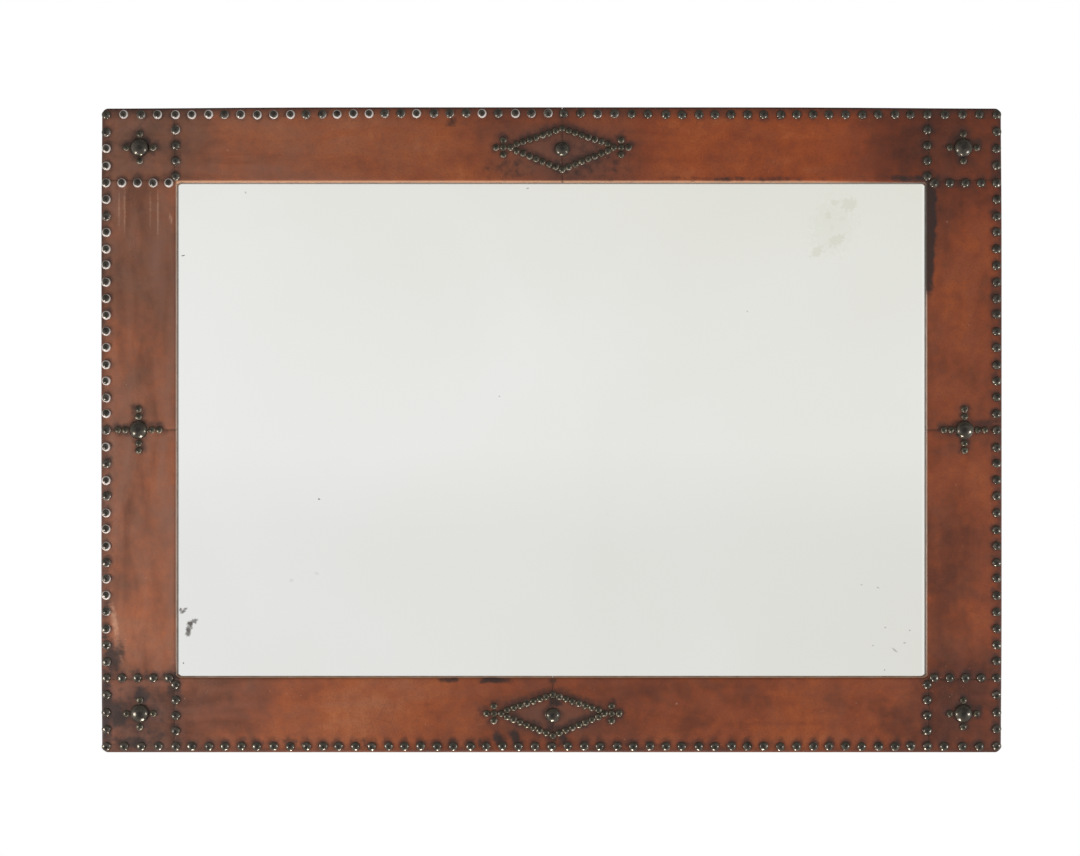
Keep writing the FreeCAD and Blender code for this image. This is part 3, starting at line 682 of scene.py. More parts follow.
def cornerCover(name, flank, level):
    low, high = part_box(name)
    reach = high.x - low.x
    bend = hideLook["cornerRadius"]
    marks = steps(bend, reach, hideLook["spacing"]) + [reach]

    def spot(a, b):  # distances in from the side and from the top or bottom
        return onMember(flank, 0, a)[0], onMember(level, 0, b)[1]

    path = [((a, 0.0), (0.0, 1.0)) for a in reversed(marks)]
    for a, b, outA, outB in quarterBend((bend, bend), bend, (0, -1), (-1, 0), 15)[1:]:
        path.append(((a, b), (-outA, -outB)))
    path += [((0.0, b), (1.0, 0.0)) for b in marks]
    profile = foldedProfile(False)
    verts, normals, faces = [], [], gridFaces(len(path), len(profile))
    zeroX, zeroZ = spot(0, 0)
    for (a, b), (inA, inB) in path:
        for inset, depth, outward, facing in profile:
            x, z = spot(a + inA * inset, b + inB * inset)
            verts.append((x, depth, z))
            nx, nz = spot(inA * outward, inB * outward)
            normals.append((nx - zeroX, facing, nz - zeroZ))
    for depth, facing, limit in ((hideFront, -1, reach), (hideBack, 1, hideLook["turnover"])):
        first = len(verts)
        for a in marks:
            for b in marks:
                x, z = spot(a, b)
                verts.append((x, depth, z))
                normals.append((0, facing, 0))
        count = len(marks)
        for face in gridFaces(count, count):
            if min(min(marks[index // count], marks[index % count]) for index in face) < limit - 1e-6:
                cell = tuple(first + index for index in face)
                faces.append(cell if facing < 0 else cell[::-1])
    seam = [min(reach - abs(x - zeroX), reach - abs(z - zeroZ)) for x, _, z in verts]
    around = reach + (hideBack - hideFront) + hideLook["turnover"]
    waste = (hideBack - hideFront + hideLook["turnover"]) ** 2
    return verts, faces, normals, seam, (around, around), around ** 2 - waste


def nailGaps(verts, nailTree, spots):  # distance to the nearest head, and to the dirt and painted shadow about it
    gaps, dirtAndShade = [], []
    rise, least = hideLook["shadeRise"], hideLook["haloLeast"]
    for x, _, z in verts:
        near = [spots[index] for _, index, _ in nailTree.find_n((x, 0, z), hideLook["nearNails"])]
        gaps.append(min(math.hypot(x - n[0], z - n[1]) - n[2] for n in near))
        dirtAndShade.append(min(math.hypot(x - n[0], z - n[1] - rise) - max(n[2], least) for n in near))
    return gaps, dirtAndShade


def shapeCover(points, facing, front, gap, seam, outside):  # swells, dips and drawn-in edges
    look = hideLook
    x, z = points[:, 0], points[:, 2]
    broad = [noise.noise(Vector(point) * look["rippleScale"]) for point in points]
    close = [noise.noise(Vector(point) * look["fineScale"] + Vector((7, 3, 1))) for point in points]
    wave = np.array(broad) + look["fineShare"] * np.array(close)
    raised = look["puff"] * (1 - np.exp(-(np.maximum(gap, 0) / look["puffReach"]) ** 2))
    raised = raised * smooth(*look["edgeEase"], outside)
    lift = front * (raised + look["ripple"] * wave * smooth(0, look["rippleClear"], gap))
    sunk = look["seamDrop"] * np.exp(-(seam / look["seamReach"]) ** 2)
    lift -= front * sunk * smooth(0, look["seamClear"], gap)
    moved = points + facing * lift[:, None]
    toCorner = np.exp(-((outerHigh.x - np.abs(x)) / look["topReach"]) ** 2)
    moved[:, 2] -= look["topDraw"] * toCorner * smooth(outerHigh.z - look["drawBand"], outerHigh.z, z)
    toCorner = np.exp(-(np.minimum(z - outerLow.z, outerHigh.z - z) / look["sideReach"]) ** 2)
    drawn = look["sideDraw"] * toCorner * smooth(outerHigh.x - look["drawBand"], outerHigh.x, np.abs(x))
    moved[:, 0] -= np.sign(x) * drawn
    return moved


def coverValues(name, x, z, facing, front, dirtAndShade, seam, outside):  # wear, dirt, and painted light and shade, for the finish
    look = hideLook
    fromTop = outerHigh.z - z
    sideways = np.abs(facing[:, 0]) > np.abs(facing[:, 2])
    inward = np.where(sideways, -facing[:, 0] * np.sign(x), (middleZ - z) * facing[:, 2])
    turnedIn = np.where((outside > faceWidth / 2) & (inward > 0), 1 - np.abs(facing[:, 1]), 0.0)
    # painted highlight: the front of the top fold by the glass is made pale, less to the right
    if "top" in name:
        edge = fade(0.0, look["foldHighlight"], np.abs(z - sightHigh.z)) * (front > 0) * (np.abs(x) < sightHigh.x)
        turnedIn = np.maximum(turnedIn, look["foldHighlightShare"] * edge)
        turnedIn = turnedIn * (1 - look["foldHighlightLoss"] * smooth(*look["foldHighlightEnd"], x))
    bands = markSum(sootBands, x, z, power=4.0)
    sootShadeMask = np.maximum(markSum(sootMarks, x, z), bands)
    # painted shade: a black line along the top edge
    sootShadeMask = np.maximum(sootShadeMask, look["topBlack"] * smooth(*look["topLine"], fromTop))
    veiled = look["veilLeast"] + (1 - look["veilLeast"]) * smooth(*look["veilZ"], z)
    warmed = look["warmLeast"] + (1 - look["warmLeast"]) * smooth(*look["warmZ"], z)
    # dirt along the outer edge, with painted shade heavier along the top
    rimDirtShade = np.minimum(outside, fromTop * look["topShade"])
    return {
        "nailDirtShade": dirtAndShade,
        "seamGap": np.maximum(seam, 0),
        "rimDirtShade": np.where(front > look["rimShare"], rimDirtShade, look["sideDirt"]),
        "sootAndShade": np.where(facing[:, 1] < look["sootFacing"], sootShadeMask, bands * turnedIn),
        "haze": markSum(hazeMarks, x, z) * front,
        "dullness": markSum(dullMarks, x, z) * front,
        "turnedIn": turnedIn,
        "upright": np.full(len(x), 1.0 if "stile" in name else 0.0),
        "veil": fade(*look["veilX"], x) * veiled,
        "warmth": smooth(*look["warmX"], x) * warmed,
        "tone": sum(amount * np.exp(-((x - markX) ** 2 + (z - markZ) ** 2) / reach ** 2)
                    for markX, markZ, reach, amount in toneMarks),
    }


def joinCover(mesh):  # closes the sheet's joints and turns its face to the front
    shape = bmesh.new()
    shape.from_mesh(mesh)
    bmesh.ops.remove_doubles(shape, verts=shape.verts, dist=hideLook["weld"])
    bmesh.ops.recalc_face_normals(shape, faces=shape.faces)
    limit = hideFront + hideLook["frontBand"]
    ahead = [face for face in shape.faces if face.calc_center_median().y < limit]
    if sum(face.normal.y * face.calc_area() for face in ahead) > 0:
        bmesh.ops.reverse_faces(shape, faces=shape.faces)
    shape.to_mesh(mesh)
    shape.free()


def thicken(name, mesh):
    flatPiece = makeObject(name + "_flat", mesh)
    shell = flatPiece.modifiers.new("thickness", "SOLIDIFY")
    shell.thickness = hideLook["thick"]
    shell.offset = -1
    graph = bpy.context.evaluated_depsgraph_get()
    made = flatPiece.evaluated_get(graph)
    solid = bpy.data.meshes.new_from_object(made, preserve_all_data_layers=True, depsgraph=graph)
    bpy.data.objects.remove(flatPiece)
    solid.name = name + "_cover"
    return solid


def dressCover(name, built, nailTree, spots, material):
    verts, faces, normals, seam, flat, area = built
    points = np.array(verts)
    facing = np.array(normals)
    seam = np.array(seam)
    x, z = points[:, 0], points[:, 2]
    toSide = np.minimum(x - outerLow.x, outerHigh.x - x)
    outside = np.minimum(toSide, np.minimum(z - outerLow.z, outerHigh.z - z))
    start, full = hideLook["faceEdge"]
    front = np.clip(-facing[:, 1], 0, 1) * smooth(hideFront + start, hideFront + full, points[:, 1])
    onFace = front > hideLook["faceShare"]
    gap, dirtAndShade = [np.where(onFace, far, hideLook["noNail"]) for far in nailGaps(verts, nailTree, spots)]
    mesh = bpy.data.meshes.new(name)
    mesh.from_pydata(shapeCover(points, facing, front, gap, seam, outside).tolist(), [], faces)
    storeValues(mesh, coverValues(name, x, z, facing, front, dirtAndShade, seam, outside))
    joinCover(mesh)
    solid = thicken(name, mesh)
    piece = standIn(name, "_cover", solid, material, hideLook["sharp"])
    return len(solid.vertices)


def makeHide(material, spots):
    nailTree = KDTree(len(spots))
    for index, (x, z, _, _) in enumerate(spots):
        nailTree.insert((x, 0, z), index)
    nailTree.balance()
    total = 0
    for name, member in {**railHides, **stileHides}.items():
        total += dressCover(name, straightCover(name, member), nailTree, spots, material)
    for name, (flank, level) in cornerHides.items():
        total += dressCover(name, cornerCover(name, flank, level), nailTree, spots, material)
    print("hide laid:", total, "points")


# Tacks and brads on the back

tackLook = {
    "sides": 18, "crown": 0.0005,
    "head": ((0.08, 1.0), (0.55, 0.75), (0.9, 0.2), (1.0, -0.4)),  # shares of its radius and of the crown
    "under": 0.95, "headDepth": 0.0008,
    "shank": ((0.0009, 0.0009), (0.0008, 0.002), (0.0002, 0.0)),   # below the head, near the point, point
}
bradLook = {
    "sides": 10,
    "head": 0.99, "shank": 0.96, "point": 0.2,             # shares of the brad's radius
    "face": 0.7,                                           # share of the head
    "rim": 0.0003, "headDepth": 0.0009, "neck": 0.0012,    # from the face, along the brad
    "pointFrom": 0.8,                                      # share of its length
}
turnedSharp = 40  # degrees


def turned(verts, faces, origin, axis, profile, sides):  # profile is reach, and distance along the axis
    across = axis.orthogonal().normalized()
    other = axis.cross(across)
    first = len(verts)
    for reach, along in profile:
        for turn in turns(sides):
            verts.append(origin + axis * along + (across * math.cos(turn) + other * math.sin(turn)) * reach)
    faces += ringFaces(first, len(profile), sides)
    faces.append(tuple(first + side for side in reversed(range(sides))))
    last = len(verts) - sides
    faces.append(tuple(last + side for side in range(sides)))


def finishTurned(name, verts, faces, material):
    mesh = bpy.data.meshes.new(name + "_turned")
    mesh.from_pydata(verts, [], faces)
    faceOutward(mesh)
    standIn(name, "_turned", mesh, material, turnedSharp)


def makeTacks(material):
    verts, faces = [], []
    (shank, below), taper, point = tackLook["shank"]
    for low, high in islands("turnover_tacks"):
        middle = (low + high) / 2
        radius = (high.x - low.x) / 2
        length = high.y - low.y
        profile = [(radius * wide, length + tackLook["crown"] * rise) for wide, rise in tackLook["head"]]
        profile += [(radius * tackLook["under"], length - tackLook["headDepth"])]
        profile += [(shank, length - below), taper, point]
        origin = Vector((middle.x, low.y, middle.z))
        turned(verts, faces, origin, Vector((0, 1, 0)), profile, tackLook["sides"])
    finishTurned("turnover_tacks", verts, faces, material)
    print("tacks set")


def makeBrads(material):
    verts, faces = [], []
    centre = Vector((0, 0, middleZ))
    for low, high in islands("board_brads"):
        middle = (low + high) / 2
        size = high - low
        axis = Vector((1, 0, 0)) if size.x > size.z else Vector((0, 0, 1))
        if (middle - centre).dot(axis) < 0:
            axis = -axis
        length = max(size.x, size.z)
        radius = size.y / 2
        head = radius * bradLook["head"]
        shank = radius * bradLook["shank"]
        profile = [(head * bradLook["face"], 0.0), (head, bradLook["rim"]), (head, bradLook["headDepth"]),
                   (shank, bradLook["neck"]), (shank, length * bradLook["pointFrom"]),
                   (radius * bradLook["point"], length)]
        turned(verts, faces, middle - axis * length / 2, axis, profile, bradLook["sides"])
    finishTurned("board_brads", verts, faces, material)
    print("brads set")


# Finishes

hidePaint = {
    "ramp": [(0.0, tint(76, 40, 28)), (0.28, tint(106, 54, 33)), (0.5, tint(132, 66, 36)),
             (0.72, tint(150, 78, 40)), (1.0, tint(176, 104, 62))],
    "broad": 11.0, "close": 75.0,                      # noise scales of its patches
    "across": (9.0, 30.0, 40.0), "upward": (40.0, 30.0, 9.0),  # of its streaks, on rails and on stiles
    "flecks": 420.0, "greys": 24.0, "specks": 150.0, "creases": 46.0, "pores": 850.0,
    "grey": tint(114, 79, 64), "greyMost": 0.48,
    "bruise": tint(84, 52, 50), "bruiseMost": 0.55,
    "fleck": tint(96, 54, 38), "fleckMost": 0.5,
    "veil": tint(188, 152, 126), "veilShare": (0.05, 0.21),
    "warm": (1.0, 0.84, 0.70, 1.0),
    "dull": tint(88, 66, 57), "dullShare": (0.40, 0.78),
    "return": tint(212, 163, 128), "sideReturn": tint(204, 174, 153), "returnMost": 0.9,
    "dirtAndShade": tint(46, 38, 36),
    "pale": tint(196, 156, 130), "speckMost": 0.4,
    "crease": tint(70, 42, 32), "creaseMost": 0.4,
    "gloss": 0.2, "rough": (0.40, 0.56), "dirtRough": 0.18,
    "relief": 0.35, "reliefDepth": 0.0004,
    "masks": {  # noise scale, raggedness, stored values where each starts and is full, strength
        "nailDirtShade": (60.0, 0.022, 0.0058, -0.003, 0.72),
        "seamGap": (120.0, 0.004, 0.003, 0.0, (0.42, 0.22)),  # on rails, on stiles
        "rimDirtShade": (70.0, 0.012, 0.010, 0.0, 0.62),
        "sootAndShade": (110.0, 1.5, 0.22, 1.0, 0.9),
        "haze": (240.0, 0.7, 0.12, 0.8, 0.5),
    },
}


def hideFinish():
    look = hidePaint
    material, shader, coords = newMaterial("agedHide", {"Specular IOR Level": look["gloss"]})
    patch = place(mottle, {"Vector": coords, "Broad": look["broad"], "Close": look["close"]})
    across = cloud(stretched(coords, look["across"]), 1.0, 3.0, 0.5, 0.6)
    upward = cloud(stretched(coords, look["upward"]), 1.0, 3.0, 0.5, 0.6)
    streak = mixValue(painted("upright"), across, upward)
    flecks = cloud(coords, look["flecks"], 3.0, 0.6)
    level = plus(painted("tone"), span(patch["Broad Patch"], 0.25, 0.75, 0.20, 0.69),
                 span(patch["Close Patch"], 0.25, 0.75, -0.14, 0.14), span(streak, 0.25, 0.75, -0.16, 0.16))
    colour = colourRamp(level, look["ramp"])
    weathered = span(painted("veil"), 0.0, 1.0, 0.45, 1.0)
    greyed = span(cloud(coords, look["greys"], 5.0, 0.62, 0.5), 0.46, 0.74, 0.0, look["greyMost"])
    colour = mixColour(times(greyed, weathered), colour, look["grey"])
    bruised = span(streak, 0.46, 0.70, 0.0, look["bruiseMost"])
    colour = mixColour(times(bruised, weathered), colour, look["bruise"])
    colour = mixColour(span(flecks, 0.50, 0.72, 0.0, look["fleckMost"]), colour, look["fleck"])
    # painted sheen: a pale veil, most to the left
    veil = times(painted("veil"), span(streak, 0.2, 0.8, *look["veilShare"]))
    colour = mixColour(veil, colour, look["veil"])
    colour = mixColour(painted("warmth"), colour, look["warm"], "MULTIPLY")
    dulled = times(painted("dullness"), span(patch["Close Patch"], 0.3, 0.7, *look["dullShare"]))
    colour = mixColour(dulled, colour, look["dull"])

    # pale where it turns in to the glass: unfaded hide, and painted light on the returns
    returned = times(span(painted("turnedIn"), 0.25, 0.8), look["returnMost"])
    turnedTint = mixColour(painted("upright"), look["return"], look["sideReturn"])
    colour = mixColour(returned, colour, turnedTint)

    # dirt round nails, along seams and at the outer edge, and the marks of age, with painted shadow above
    # the nails and painted shade along the top edge
    masks = {}
    for name, (scale, broken, low, high, strength) in look["masks"].items():
        inputs = {"Value": painted(name), "Scale": scale, "Break": broken, "Low": low, "High": high}
        mask = place(ragged, {"Vector": coords, **inputs})["Mask"]
        if isinstance(strength, tuple):
            strength = span(painted("upright"), 0.0, 1.0, *strength)
        masks[name] = times(mask, strength)
    colour = mixColour(masks.pop("haze"), colour, look["pale"])
    dirtAndShade = larger(*masks.values())
    colour = mixColour(dirtAndShade, colour, look["dirtAndShade"])

    # specks and hairline creases
    specks = span(cellGap(coords, look["specks"]), 0.11, 0.05)
    specks = times(specks, span(cloud(coords, 17.0), 0.58, 0.66), look["speckMost"])
    colour = mixColour(specks, colour, look["pale"])
    crease = span(cellGap(coords, look["creases"], "DISTANCE_TO_EDGE"), 0.0, 0.02, 1.0, 0.0)
    crease = times(crease, span(cloud(coords, 13.0), 0.55, 0.7))
    colour = mixColour(times(crease, look["creaseMost"]), colour, look["crease"])

    rough = plus(span(patch["Close Patch"], 0.3, 0.7, *look["rough"]), times(dirtAndShade, look["dirtRough"]))
    pores = span(cellGap(coords, look["pores"], "DISTANCE_TO_EDGE"), 0.0, 0.25)
    height = less(plus(times(pores, 0.35), times(flecks, 0.8)), times(crease, 1.2))
    inputs = {"Base Color": colour, "Roughness": rough}
    finish(shader, inputs, height, look["relief"], look["reliefDepth"])
    return material


darkNail = {"patina": tint(110, 103, 92), "deep": tint(48, 44, 39), "dark": tint(30, 27, 25),
            "ringRubGlint": tint(200, 190, 184), "rough": 0.22}
bronzeNail = {"patina": tint(106, 98, 82), "deep": tint(52, 48, 41), "dark": tint(34, 32, 29),
              "ringRubGlint": tint(200, 193, 176), "rough": 0.34}
nailWearGlint = {
    "broad": 160.0, "close": 700.0,     # noise scales of the patina
    "darkMost": 0.92,                   # of the crown
    "lowSide": 0.10,                    # the pale ring sits a little to the lower right, a painted highlight
    "ring": (0.10, 0.42),               # more wear and glint, wider ring
    "broken": 0.24,
    "metallic": (0.78, 0.15), "ringRubGlintRough": 0.28,
    "relief": 0.25, "reliefDepth": 0.0002,
}


def nailFinish(name, look):
    wear = nailWearGlint
    material, shader, coords = newMaterial(name)
    patch = place(mottle, {"Vector": coords, "Broad": wear["broad"], "Close": wear["close"]})
    crown = painted("crown")
    patina = span(patch["Broad Patch"], 0.3, 0.7, 0.45, 1.0)
    colour = mixColour(patina, look["deep"], look["patina"])
    colour = mixColour(span(crown, 0.28, 0.85, 0.0, wear["darkMost"]), colour, look["dark"])
    # a pale ring round each head: worn rim and painted highlight, pale and barely metallic
    rubAndGlint = painted("rubAndGlint")
    inward = less(crown, times(painted("lowSide"), wear["lowSide"]))
    ring = span(less(span(rubAndGlint, 0.0, 1.0, *wear["ring"]), inward), 0.0, 0.14)
    ring = times(ring, span(crown, -0.05, 0.06, 0.5, 1.0))
    broken = plus(rubAndGlint, span(patch["Close Patch"], 0.2, 0.8, -wear["broken"], wear["broken"]))
    ringRubGlint = times(ring, span(broken, 0.15, 0.62))
    colour = mixColour(ringRubGlint, colour, look["ringRubGlint"])
    rough = span(patch["Close Patch"], 0.3, 0.7, look["rough"] - 0.06, look["rough"] + 0.07)
    inputs = {"Base Color": colour, "Metallic": span(ringRubGlint, 0.0, 1.0, *wear["metallic"]),
              "Roughness": plus(rough, times(ringRubGlint, wear["ringRubGlintRough"]))}
    finish(shader, inputs, patch["Close Patch"], wear["relief"], wear["reliefDepth"])
    return material


# Faults in the silvering: middle x, middle z, half width, half height, lean, strength
foxMarks = [
    (-0.452, 0.171, 0.004, 0.0022, 20.0, 0.7), (-0.4545, 0.1735, 0.0022, 0.0026, 0.0, 0.65),
    (-0.449, 0.1745, 0.003, 0.0016, 15.0, 0.6),
    (-0.4376, 0.1594, 0.0042, 0.0032, 30.0, 0.7), (-0.4426, 0.1562, 0.0042, 0.0036, -25.0, 0.9),
    (-0.4436, 0.1522, 0.004, 0.004, -12.0, 0.6), (-0.4452, 0.1484, 0.0034, 0.0044, -8.0, 0.85),
    (-0.4457, 0.1438, 0.0034, 0.0032, 0.0, 0.75),
    (-0.319, 0.2095, 0.003, 0.0022, 20.0, 0.1), (-0.288, 0.218, 0.0036, 0.002, -20.0, 0.1),
    (-0.451, 0.108, 0.001, 0.001, 0.0, 0.8), (-0.285, 0.309, 0.0016, 0.0012, 0.0, 0.7),
    (-0.4515, 0.6075, 0.0024, 0.0007, 12.0, 0.8), (-0.375, 0.685, 0.001, 0.0022, 30.0, 0.35),
    (-0.029, 0.69, 0.0018, 0.001, 0.0, 0.4),
    (-0.064, 0.435, 0.0009, 0.0008, 0.0, 0.4), (0.24, 0.539, 0.0009, 0.0008, 0.0, 0.35),
    (0.3801, 0.2041, 0.0013, 0.001, 0.0, 0.3), (0.4001, 0.2005, 0.002, 0.001, -20.0, 0.3),
    (0.4092, 0.1516, 0.0012, 0.0012, 0.0, 0.3), (0.4391, 0.1481, 0.0012, 0.001, 0.0, 0.4),
    (0.4204, 0.1242, 0.0046, 0.0012, -35.0, 0.35), (0.4326, 0.1328, 0.0018, 0.0012, 0.0, 0.3),
    (0.394, 0.1297, 0.0011, 0.0011, 0.0, 0.3), (0.4082, 0.0997, 0.0011, 0.0011, 0.0, 0.35),
]
bloomMarks = [
    (0.3644, 0.6697, 0.01, 0.009, 20.0, 0.8), (0.3476, 0.672, 0.0055, 0.004, 0.0, 0.8),
    (0.3388, 0.6567, 0.0042, 0.006, 10.0, 0.8), (0.3569, 0.652, 0.005, 0.005, 0.0, 0.5),
    (0.3433, 0.6415, 0.0038, 0.006, 0.0, 0.5), (0.3487, 0.6262, 0.0125, 0.0064, 32.0, 0.9),
    (0.3264, 0.6133, 0.0105, 0.0055, 42.0, 0.8), (0.344, 0.643, 0.028, 0.036, -20.0, 0.3),
]

mirrorLook = {
    "silver": tint(236, 237, 236), "broad": 3.0, "close": 40.0,
    "green": tint(221, 221, 211), "greenAcross": (0.12, 0.62), "greenTop": 0.30, "greenLow": 0.18,
    "dull": tint(206, 205, 208), "dullMost": 0.18,
    "bloom": tint(198, 199, 176), "bloomMost": 0.42, "bloomNoise": (2.6, 210.0),  # raggedness and scale
    "foxAndShade": tint(86, 80, 76), "foxNoise": (2.0, 420.0),
    "specks": 55.0, "speckMost": 0.5,
    "lineWidth": (0.0020, 0.0004), "lineMost": 0.7,     # a thin dark line at the hide: tarnished silver and painted shade of the gap
    "edge": tint(248, 246, 242), "edgeWidth": (0.0050, 0.0030), "edgeMost": 0.4,  # painted highlight, pale on the right
    "metallic": (1.0, 0.2), "rough": (0.015, 0.5),      # clean, foxed
    "wave": 5.0, "relief": 0.012, "reliefDepth": 0.01,  # old plate isn't quite flat
}


def makeSpotGroup():
    inputs = {"Vector": "Vector", "Middle": "Vector", "Size": "Vector", "Lean": "Vector",
              "Edge": 0.5, "Scale": 420.0}
    tree, given, out = newGroup("silverFault", inputs, {"Mask": "Float"})
    leaned = rotated(vectorCalc("SUBTRACT", given["Vector"], given["Middle"])[0], given["Lean"])
    reach = vectorCalc("LENGTH", vectorCalc("DIVIDE", leaned, given["Size"])[0])["Value"]
    roughened = less(cloud(given["Vector"], given["Scale"], 4.0, 0.65), 0.5)
    edge = plus(reach, times(roughened, given["Edge"]))
    connect(out, {"Mask": span(edge, 1.25, 0.55, kind="SMOOTHSTEP")})
    return tree


def mirrorFinish():
    look = mirrorLook
    faultGroup = makeSpotGroup()
    material, shader, coords = newMaterial("oldMirror")

    def faults(marks, edge, scale):
        masks = []
        for markX, markZ, halfWidth, halfHeight, lean, strength in marks:
            inputs = {"Vector": coords, "Middle": (markX, 0, markZ), "Size": (halfWidth, 1, halfHeight),
                      "Lean": (0, math.radians(lean), 0), "Edge": edge, "Scale": scale}
            masks.append(times(place(faultGroup, inputs)["Mask"], strength))
        return larger(*masks)

    axes = add("ShaderNodeSeparateXYZ", {0: coords}).outputs
    patch = place(mottle, {"Vector": coords, "Broad": look["broad"], "Close": look["close"]})
    greened = plus(span(axes["X"], sightLow.x, sightHigh.x, *look["greenAcross"]),
                   span(axes["Z"], middleZ + 0.06, sightHigh.z, 0.0, look["greenTop"]),
                   span(axes["Z"], middleZ - 0.02, middleZ - 0.15, 0.0, look["greenLow"]))
    greened = calc("ADD", greened, span(patch["Broad Patch"], 0.3, 0.7, -0.12, 0.12), True)
    colour = mixColour(greened, look["silver"], look["green"])
    dulled = span(axes["Z"], middleZ - 0.02, middleZ - 0.12, 0.0, look["dullMost"])
    colour = mixColour(dulled, colour, look["dull"])
    bloomed = times(faults(bloomMarks, *look["bloomNoise"]), look["bloomMost"])
    colour = mixColour(bloomed, colour, look["bloom"])
    # painted highlight: a pale line along the glass's right edge
    rightEdge = less(sightHigh.x, axes["X"])
    colour = mixColour(span(rightEdge, *look["edgeWidth"], 0.0, look["edgeMost"]), colour, look["edge"])

    # foxing, specks and the line at the hide, tarnish and painted shade, except along the bottom
    specks = span(cellGap(coords, look["specks"]), 0.045, 0.02)
    specks = times(specks, span(cloud(coords, 9.0), 0.6, 0.66), look["speckMost"])
    sideX = less(sightHigh.x, calc("ABSOLUTE", axes["X"]))
    border = calc("MINIMUM", sideX, less(sightHigh.z, axes["Z"]))
    line = times(span(border, *look["lineWidth"]), look["lineMost"])
    foxAndShade = larger(faults(foxMarks, *look["foxNoise"]), specks, line)
    colour = mixColour(foxAndShade, colour, look["foxAndShade"])
    inputs = {"Base Color": colour, "Metallic": span(foxAndShade, 0.2, 1.0, *look["metallic"]),
              "Roughness": span(foxAndShade, 0.0, 1.0, *look["rough"])}
    finish(shader, inputs, cloud(coords, look["wave"], 1.0, 0.4), look["relief"], look["reliefDepth"])
    return material


railLook = {"along": "x", "light": tint(192, 154, 110), "dark": tint(138, 100, 66), "age": 0.7}
stileLook = {"along": "z", "light": tint(188, 150, 108), "dark": tint(134, 98, 66), "age": 0.7}
pegLook = {"along": "y", "light": tint(134, 98, 64), "dark": tint(92, 64, 42), "age": 0.5}
boardLook = {"along": "x", "light": tint(200, 160, 110), "dark": tint(146, 104, 66), "age": 0.5,
             "shift": 0.73}  # gives each board its own figure
paleBoardLook = {**boardLook, "light": tint(208, 168, 110), "dark": tint(154, 112, 66)}


def timberFinish(name, look, piece=1):
    material, shader, coords = newMaterial(name)
    quarter = math.radians(90)
    turn = {"x": (0, 0, 0), "z": (0, quarter, 0), "y": (0, 0, quarter)}[look["along"]]
    shift = look.get("shift", 0.0) * piece
    moved = {"Vector": rotated(coords, turn), "Location": (shift, shift, shift)}
    along = add("ShaderNodeMapping", moved).outputs[0]
    inputs = {"Vector": along, "Light": look["light"], "Dark": look["dark"], "Age": look["age"]}
    grain = place(timberGrain, inputs)
    rough = span(grain["Height"], 0.2, 0.8, 0.85, 0.62)
    inputs = {"Base Color": grain["Color"], "Roughness": rough}
    finish(shader, inputs, grain["Height"], grainLook["relief"], grainLook["reliefDepth"])
    return material


brass = {"clean": tint(168, 144, 96), "dull": tint(126, 104, 68), "spots": tint(74, 62, 46),
         "rough": 0.38, "metallic": 1.0}
steel = {"clean": tint(140, 136, 130), "dull": tint(96, 90, 84), "spots": tint(92, 62, 44),
         "rough": 0.42, "metallic": 1.0}
iron = {"clean": tint(70, 66, 62), "dull": tint(46, 43, 40), "spots": tint(88, 58, 40),
        "rough": 0.5, "metallic": 0.9}
metalWear = {"broad": 130.0, "close": 900.0, "spotsMost": 0.7, "relief": 0.2, "reliefDepth": 0.0002}
hangerSharp = 35


def metalFinish(name, look):
    wear = metalWear
    material, shader, coords = newMaterial(name, {"Metallic": look["metallic"]})
    patch = place(mottle, {"Vector": coords, "Broad": wear["broad"], "Close": wear["close"]})
    colour = mixColour(span(patch["Broad Patch"], 0.35, 0.65), look["clean"], look["dull"])
    spotted = span(patch["Close Patch"], 0.56, 0.72, 0.0, wear["spotsMost"])
    colour = mixColour(spotted, colour, look["spots"])
    rough = span(patch["Close Patch"], 0.3, 0.7, look["rough"] - 0.1, look["rough"] + 0.12)
    inputs = {"Base Color": colour, "Roughness": rough}
    finish(shader, inputs, patch["Close Patch"], wear["relief"], wear["reliefDepth"])
    return material


def dress(names, material):
    for name in names:
        nodes[name].data.materials.clear()
        nodes[name].data.materials.append(material)


def finishCadPieces():
    hangers = [flank + "_hanger_" + part for flank in flanks for part in ("plate", "ring")]
    dress(["top_rail", "bottom_rail"], timberFinish("railTimber", railLook))
    dress(["left_stile", "right_stile"], timberFinish("stileTimber", stileLook))
    dress(["corner_pegs"], timberFinish("pegOak", pegLook))
    for index in range(1, 5):
        look = paleBoardLook if index % 2 else boardLook
        dress(["back_board_" + str(index)], timberFinish("backPine" + str(index), look, index))
    dress(hangers, metalFinish("hangerBrass", brass))
    dress(["hanger_screws"], metalFinish("screwSteel", steel))
    dress(["mirror_plate"], mirrorFinish())
    for name in hangers:
        softShade(nodes[name].data, hangerSharp)
    print("timber, metal and glass finished")


# Camera, floor and light

photo = {
    "width": 1080, "height": 856,
    "objectWidth": 901,      # the frame's width in the picture
    "objectMiddle": 551.5,   # its middle, across
    "objectBottom": 752.5,   # its bottom edge, down
    "distance": 3.77,        # lens to the frame's face
    "eyeHeight": 0.39,       # level with this height on the frame
    "sensor": 36.0,
}


def makeCamera():
    data = bpy.data.cameras.new("camera")
    camera = makeObject("camera", data)
    pixel = (outerHigh.x - outerLow.x) / photo["objectWidth"]
    focal = photo["distance"] / pixel
    data.sensor_width = photo["sensor"]
    data.lens = focal / photo["width"] * photo["sensor"]
    data.shift_x = (photo["width"] / 2 - photo["objectMiddle"]) / photo["width"]
    eyeRow = photo["objectBottom"] - photo["eyeHeight"] / pixel
    data.shift_y = (eyeRow - photo["height"] / 2) / photo["width"]
    camera.location = (0, hideFront - photo["distance"], outerLow.z + photo["eyeHeight"])
    camera.rotation_euler = (math.radians(90), 0, 0)
    bpy.context.scene.camera = camera
    print("camera placed")


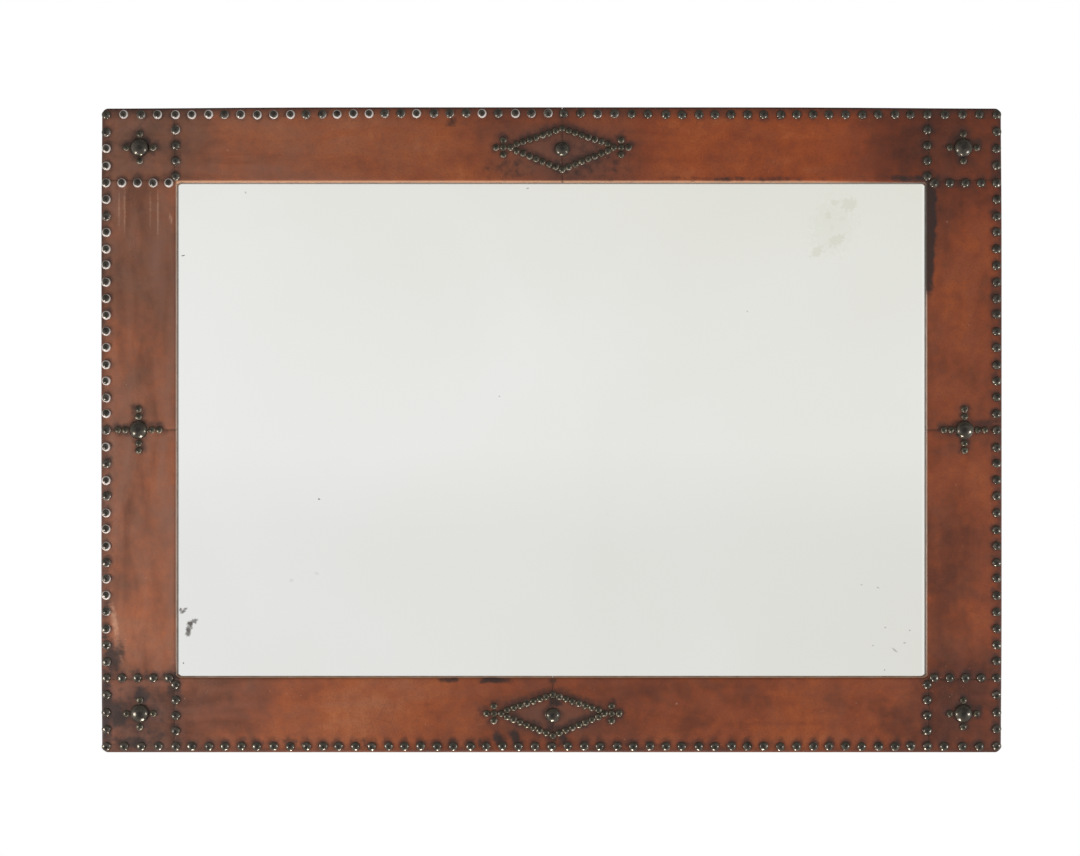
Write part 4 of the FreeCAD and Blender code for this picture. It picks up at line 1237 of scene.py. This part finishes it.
studio = {
    "floorDrop": 1.5, "floorSize": 9.0, "floorGlow": 0.7,  # the floor brightens away from the middle
    "front": 1.0,            # brightness of the white room, as the mirror shows it
    "sides": 0.66, "above": 0.24, "under": 0.86,
    "lamps": {
        "left": {"place": (-1.05, -0.42, -0.06), "size": 0.31, "power": 5.0, "colour": (1.0, 0.98, 0.95)},
        "right": {"place": (1.37, -0.52, -0.08), "size": 0.31, "power": 5.6, "colour": (0.93, 0.97, 1.0)},
        "below": {"place": (-0.06, -0.10, -1.04), "size": 0.38, "power": 13.0, "colour": (1.0, 0.96, 0.90)},
    },
}


def makeLight(name, values, unlit):  # unlit holds what the lamp leaves out
    data = bpy.data.lights.new(name + "Softbox", "AREA")
    data.shape = "DISK"
    data.size = values["size"]
    data.energy = values["power"]
    data.color = values["colour"]
    light = makeObject(name + "Softbox", data)
    light.location = values["place"]
    aim = Vector((0, 0, middleZ)) - light.location
    light.rotation_euler = aim.to_track_quat("-Z", "Y").to_euler()
    light.visible_camera = False
    light.light_linking.receiver_collection = unlit


def makeRoom():  # plain white to the lens, shaded for everything else
    world = bpy.data.worlds.new("whiteRoom")
    bpy.context.scene.world = world
    world.use_nodes = True
    wiring["tree"] = world.node_tree
    world.node_tree.nodes.clear()
    heading = add("ShaderNodeTexCoord").outputs["Generated"]
    axes = add("ShaderNodeSeparateXYZ", {0: heading}).outputs
    facing = span(times(axes["Y"], -1.0), 0.55, 0.93)
    upper = span(axes["Z"], 0.1, 0.7, studio["sides"], studio["above"])
    lower = span(axes["Z"], -0.6, -0.1, studio["under"] - studio["sides"], 0.0)
    level = mixValue(facing, plus(upper, lower), studio["front"])
    soft = add("ShaderNodeBackground", {"Strength": level, "Color": (1, 1, 1, 1)})
    plain = add("ShaderNodeBackground", {"Strength": 1.0, "Color": (1, 1, 1, 1)})
    seen = add("ShaderNodeLightPath").outputs["Is Camera Ray"]
    mixed = add("ShaderNodeMixShader", {0: seen, 1: soft.outputs[0], 2: plain.outputs[0]})
    add("ShaderNodeOutputWorld", {"Surface": mixed.outputs[0]})


def makeFloor():
    half = studio["floorSize"] / 2
    level = outerLow.z - studio["floorDrop"]
    mesh = bpy.data.meshes.new("floor")
    edges = [(-half, -half, level), (half, -half, level), (half, half, level), (-half, half, level)]
    mesh.from_pydata(edges, [], [(0, 1, 2, 3)])
    floor = makeObject("floor", mesh)
    fixed = {"Roughness": 0.8, "Base Color": (0.9, 0.9, 0.9, 1), "Emission Color": (1, 1, 1, 1)}
    paint, shader, coords = newMaterial("paleFloor", fixed)
    away = vectorCalc("LENGTH", coords)["Value"]
    glow = span(away, studio["floorDrop"], half, 0.0, studio["floorGlow"])
    connect(shader, {"Emission Strength": glow})
    mesh.materials.append(paint)


def makeStudio():
    bpy.context.scene.view_settings.view_transform = "Standard"
    makeRoom()
    unlit = bpy.data.collections.new("unlitByLamps")
    unlit.objects.link(nodes["mirror_plate"])
    unlit.collection_objects[0].light_linking.link_state = "EXCLUDE"
    for name, values in studio["lamps"].items():
        makeLight(name, values, unlit)
    makeFloor()
    print("studio ready")


makeCamera()
makeStudio()
nailPlaces = makeNails(nailFinish("darkNail", darkNail), nailFinish("bronzeNail", bronzeNail))
makeHide(hideFinish(), nailPlaces)
tackIron = metalFinish("tackIron", iron)
makeTacks(tackIron)
makeBrads(tackIron)
finishCadPieces()
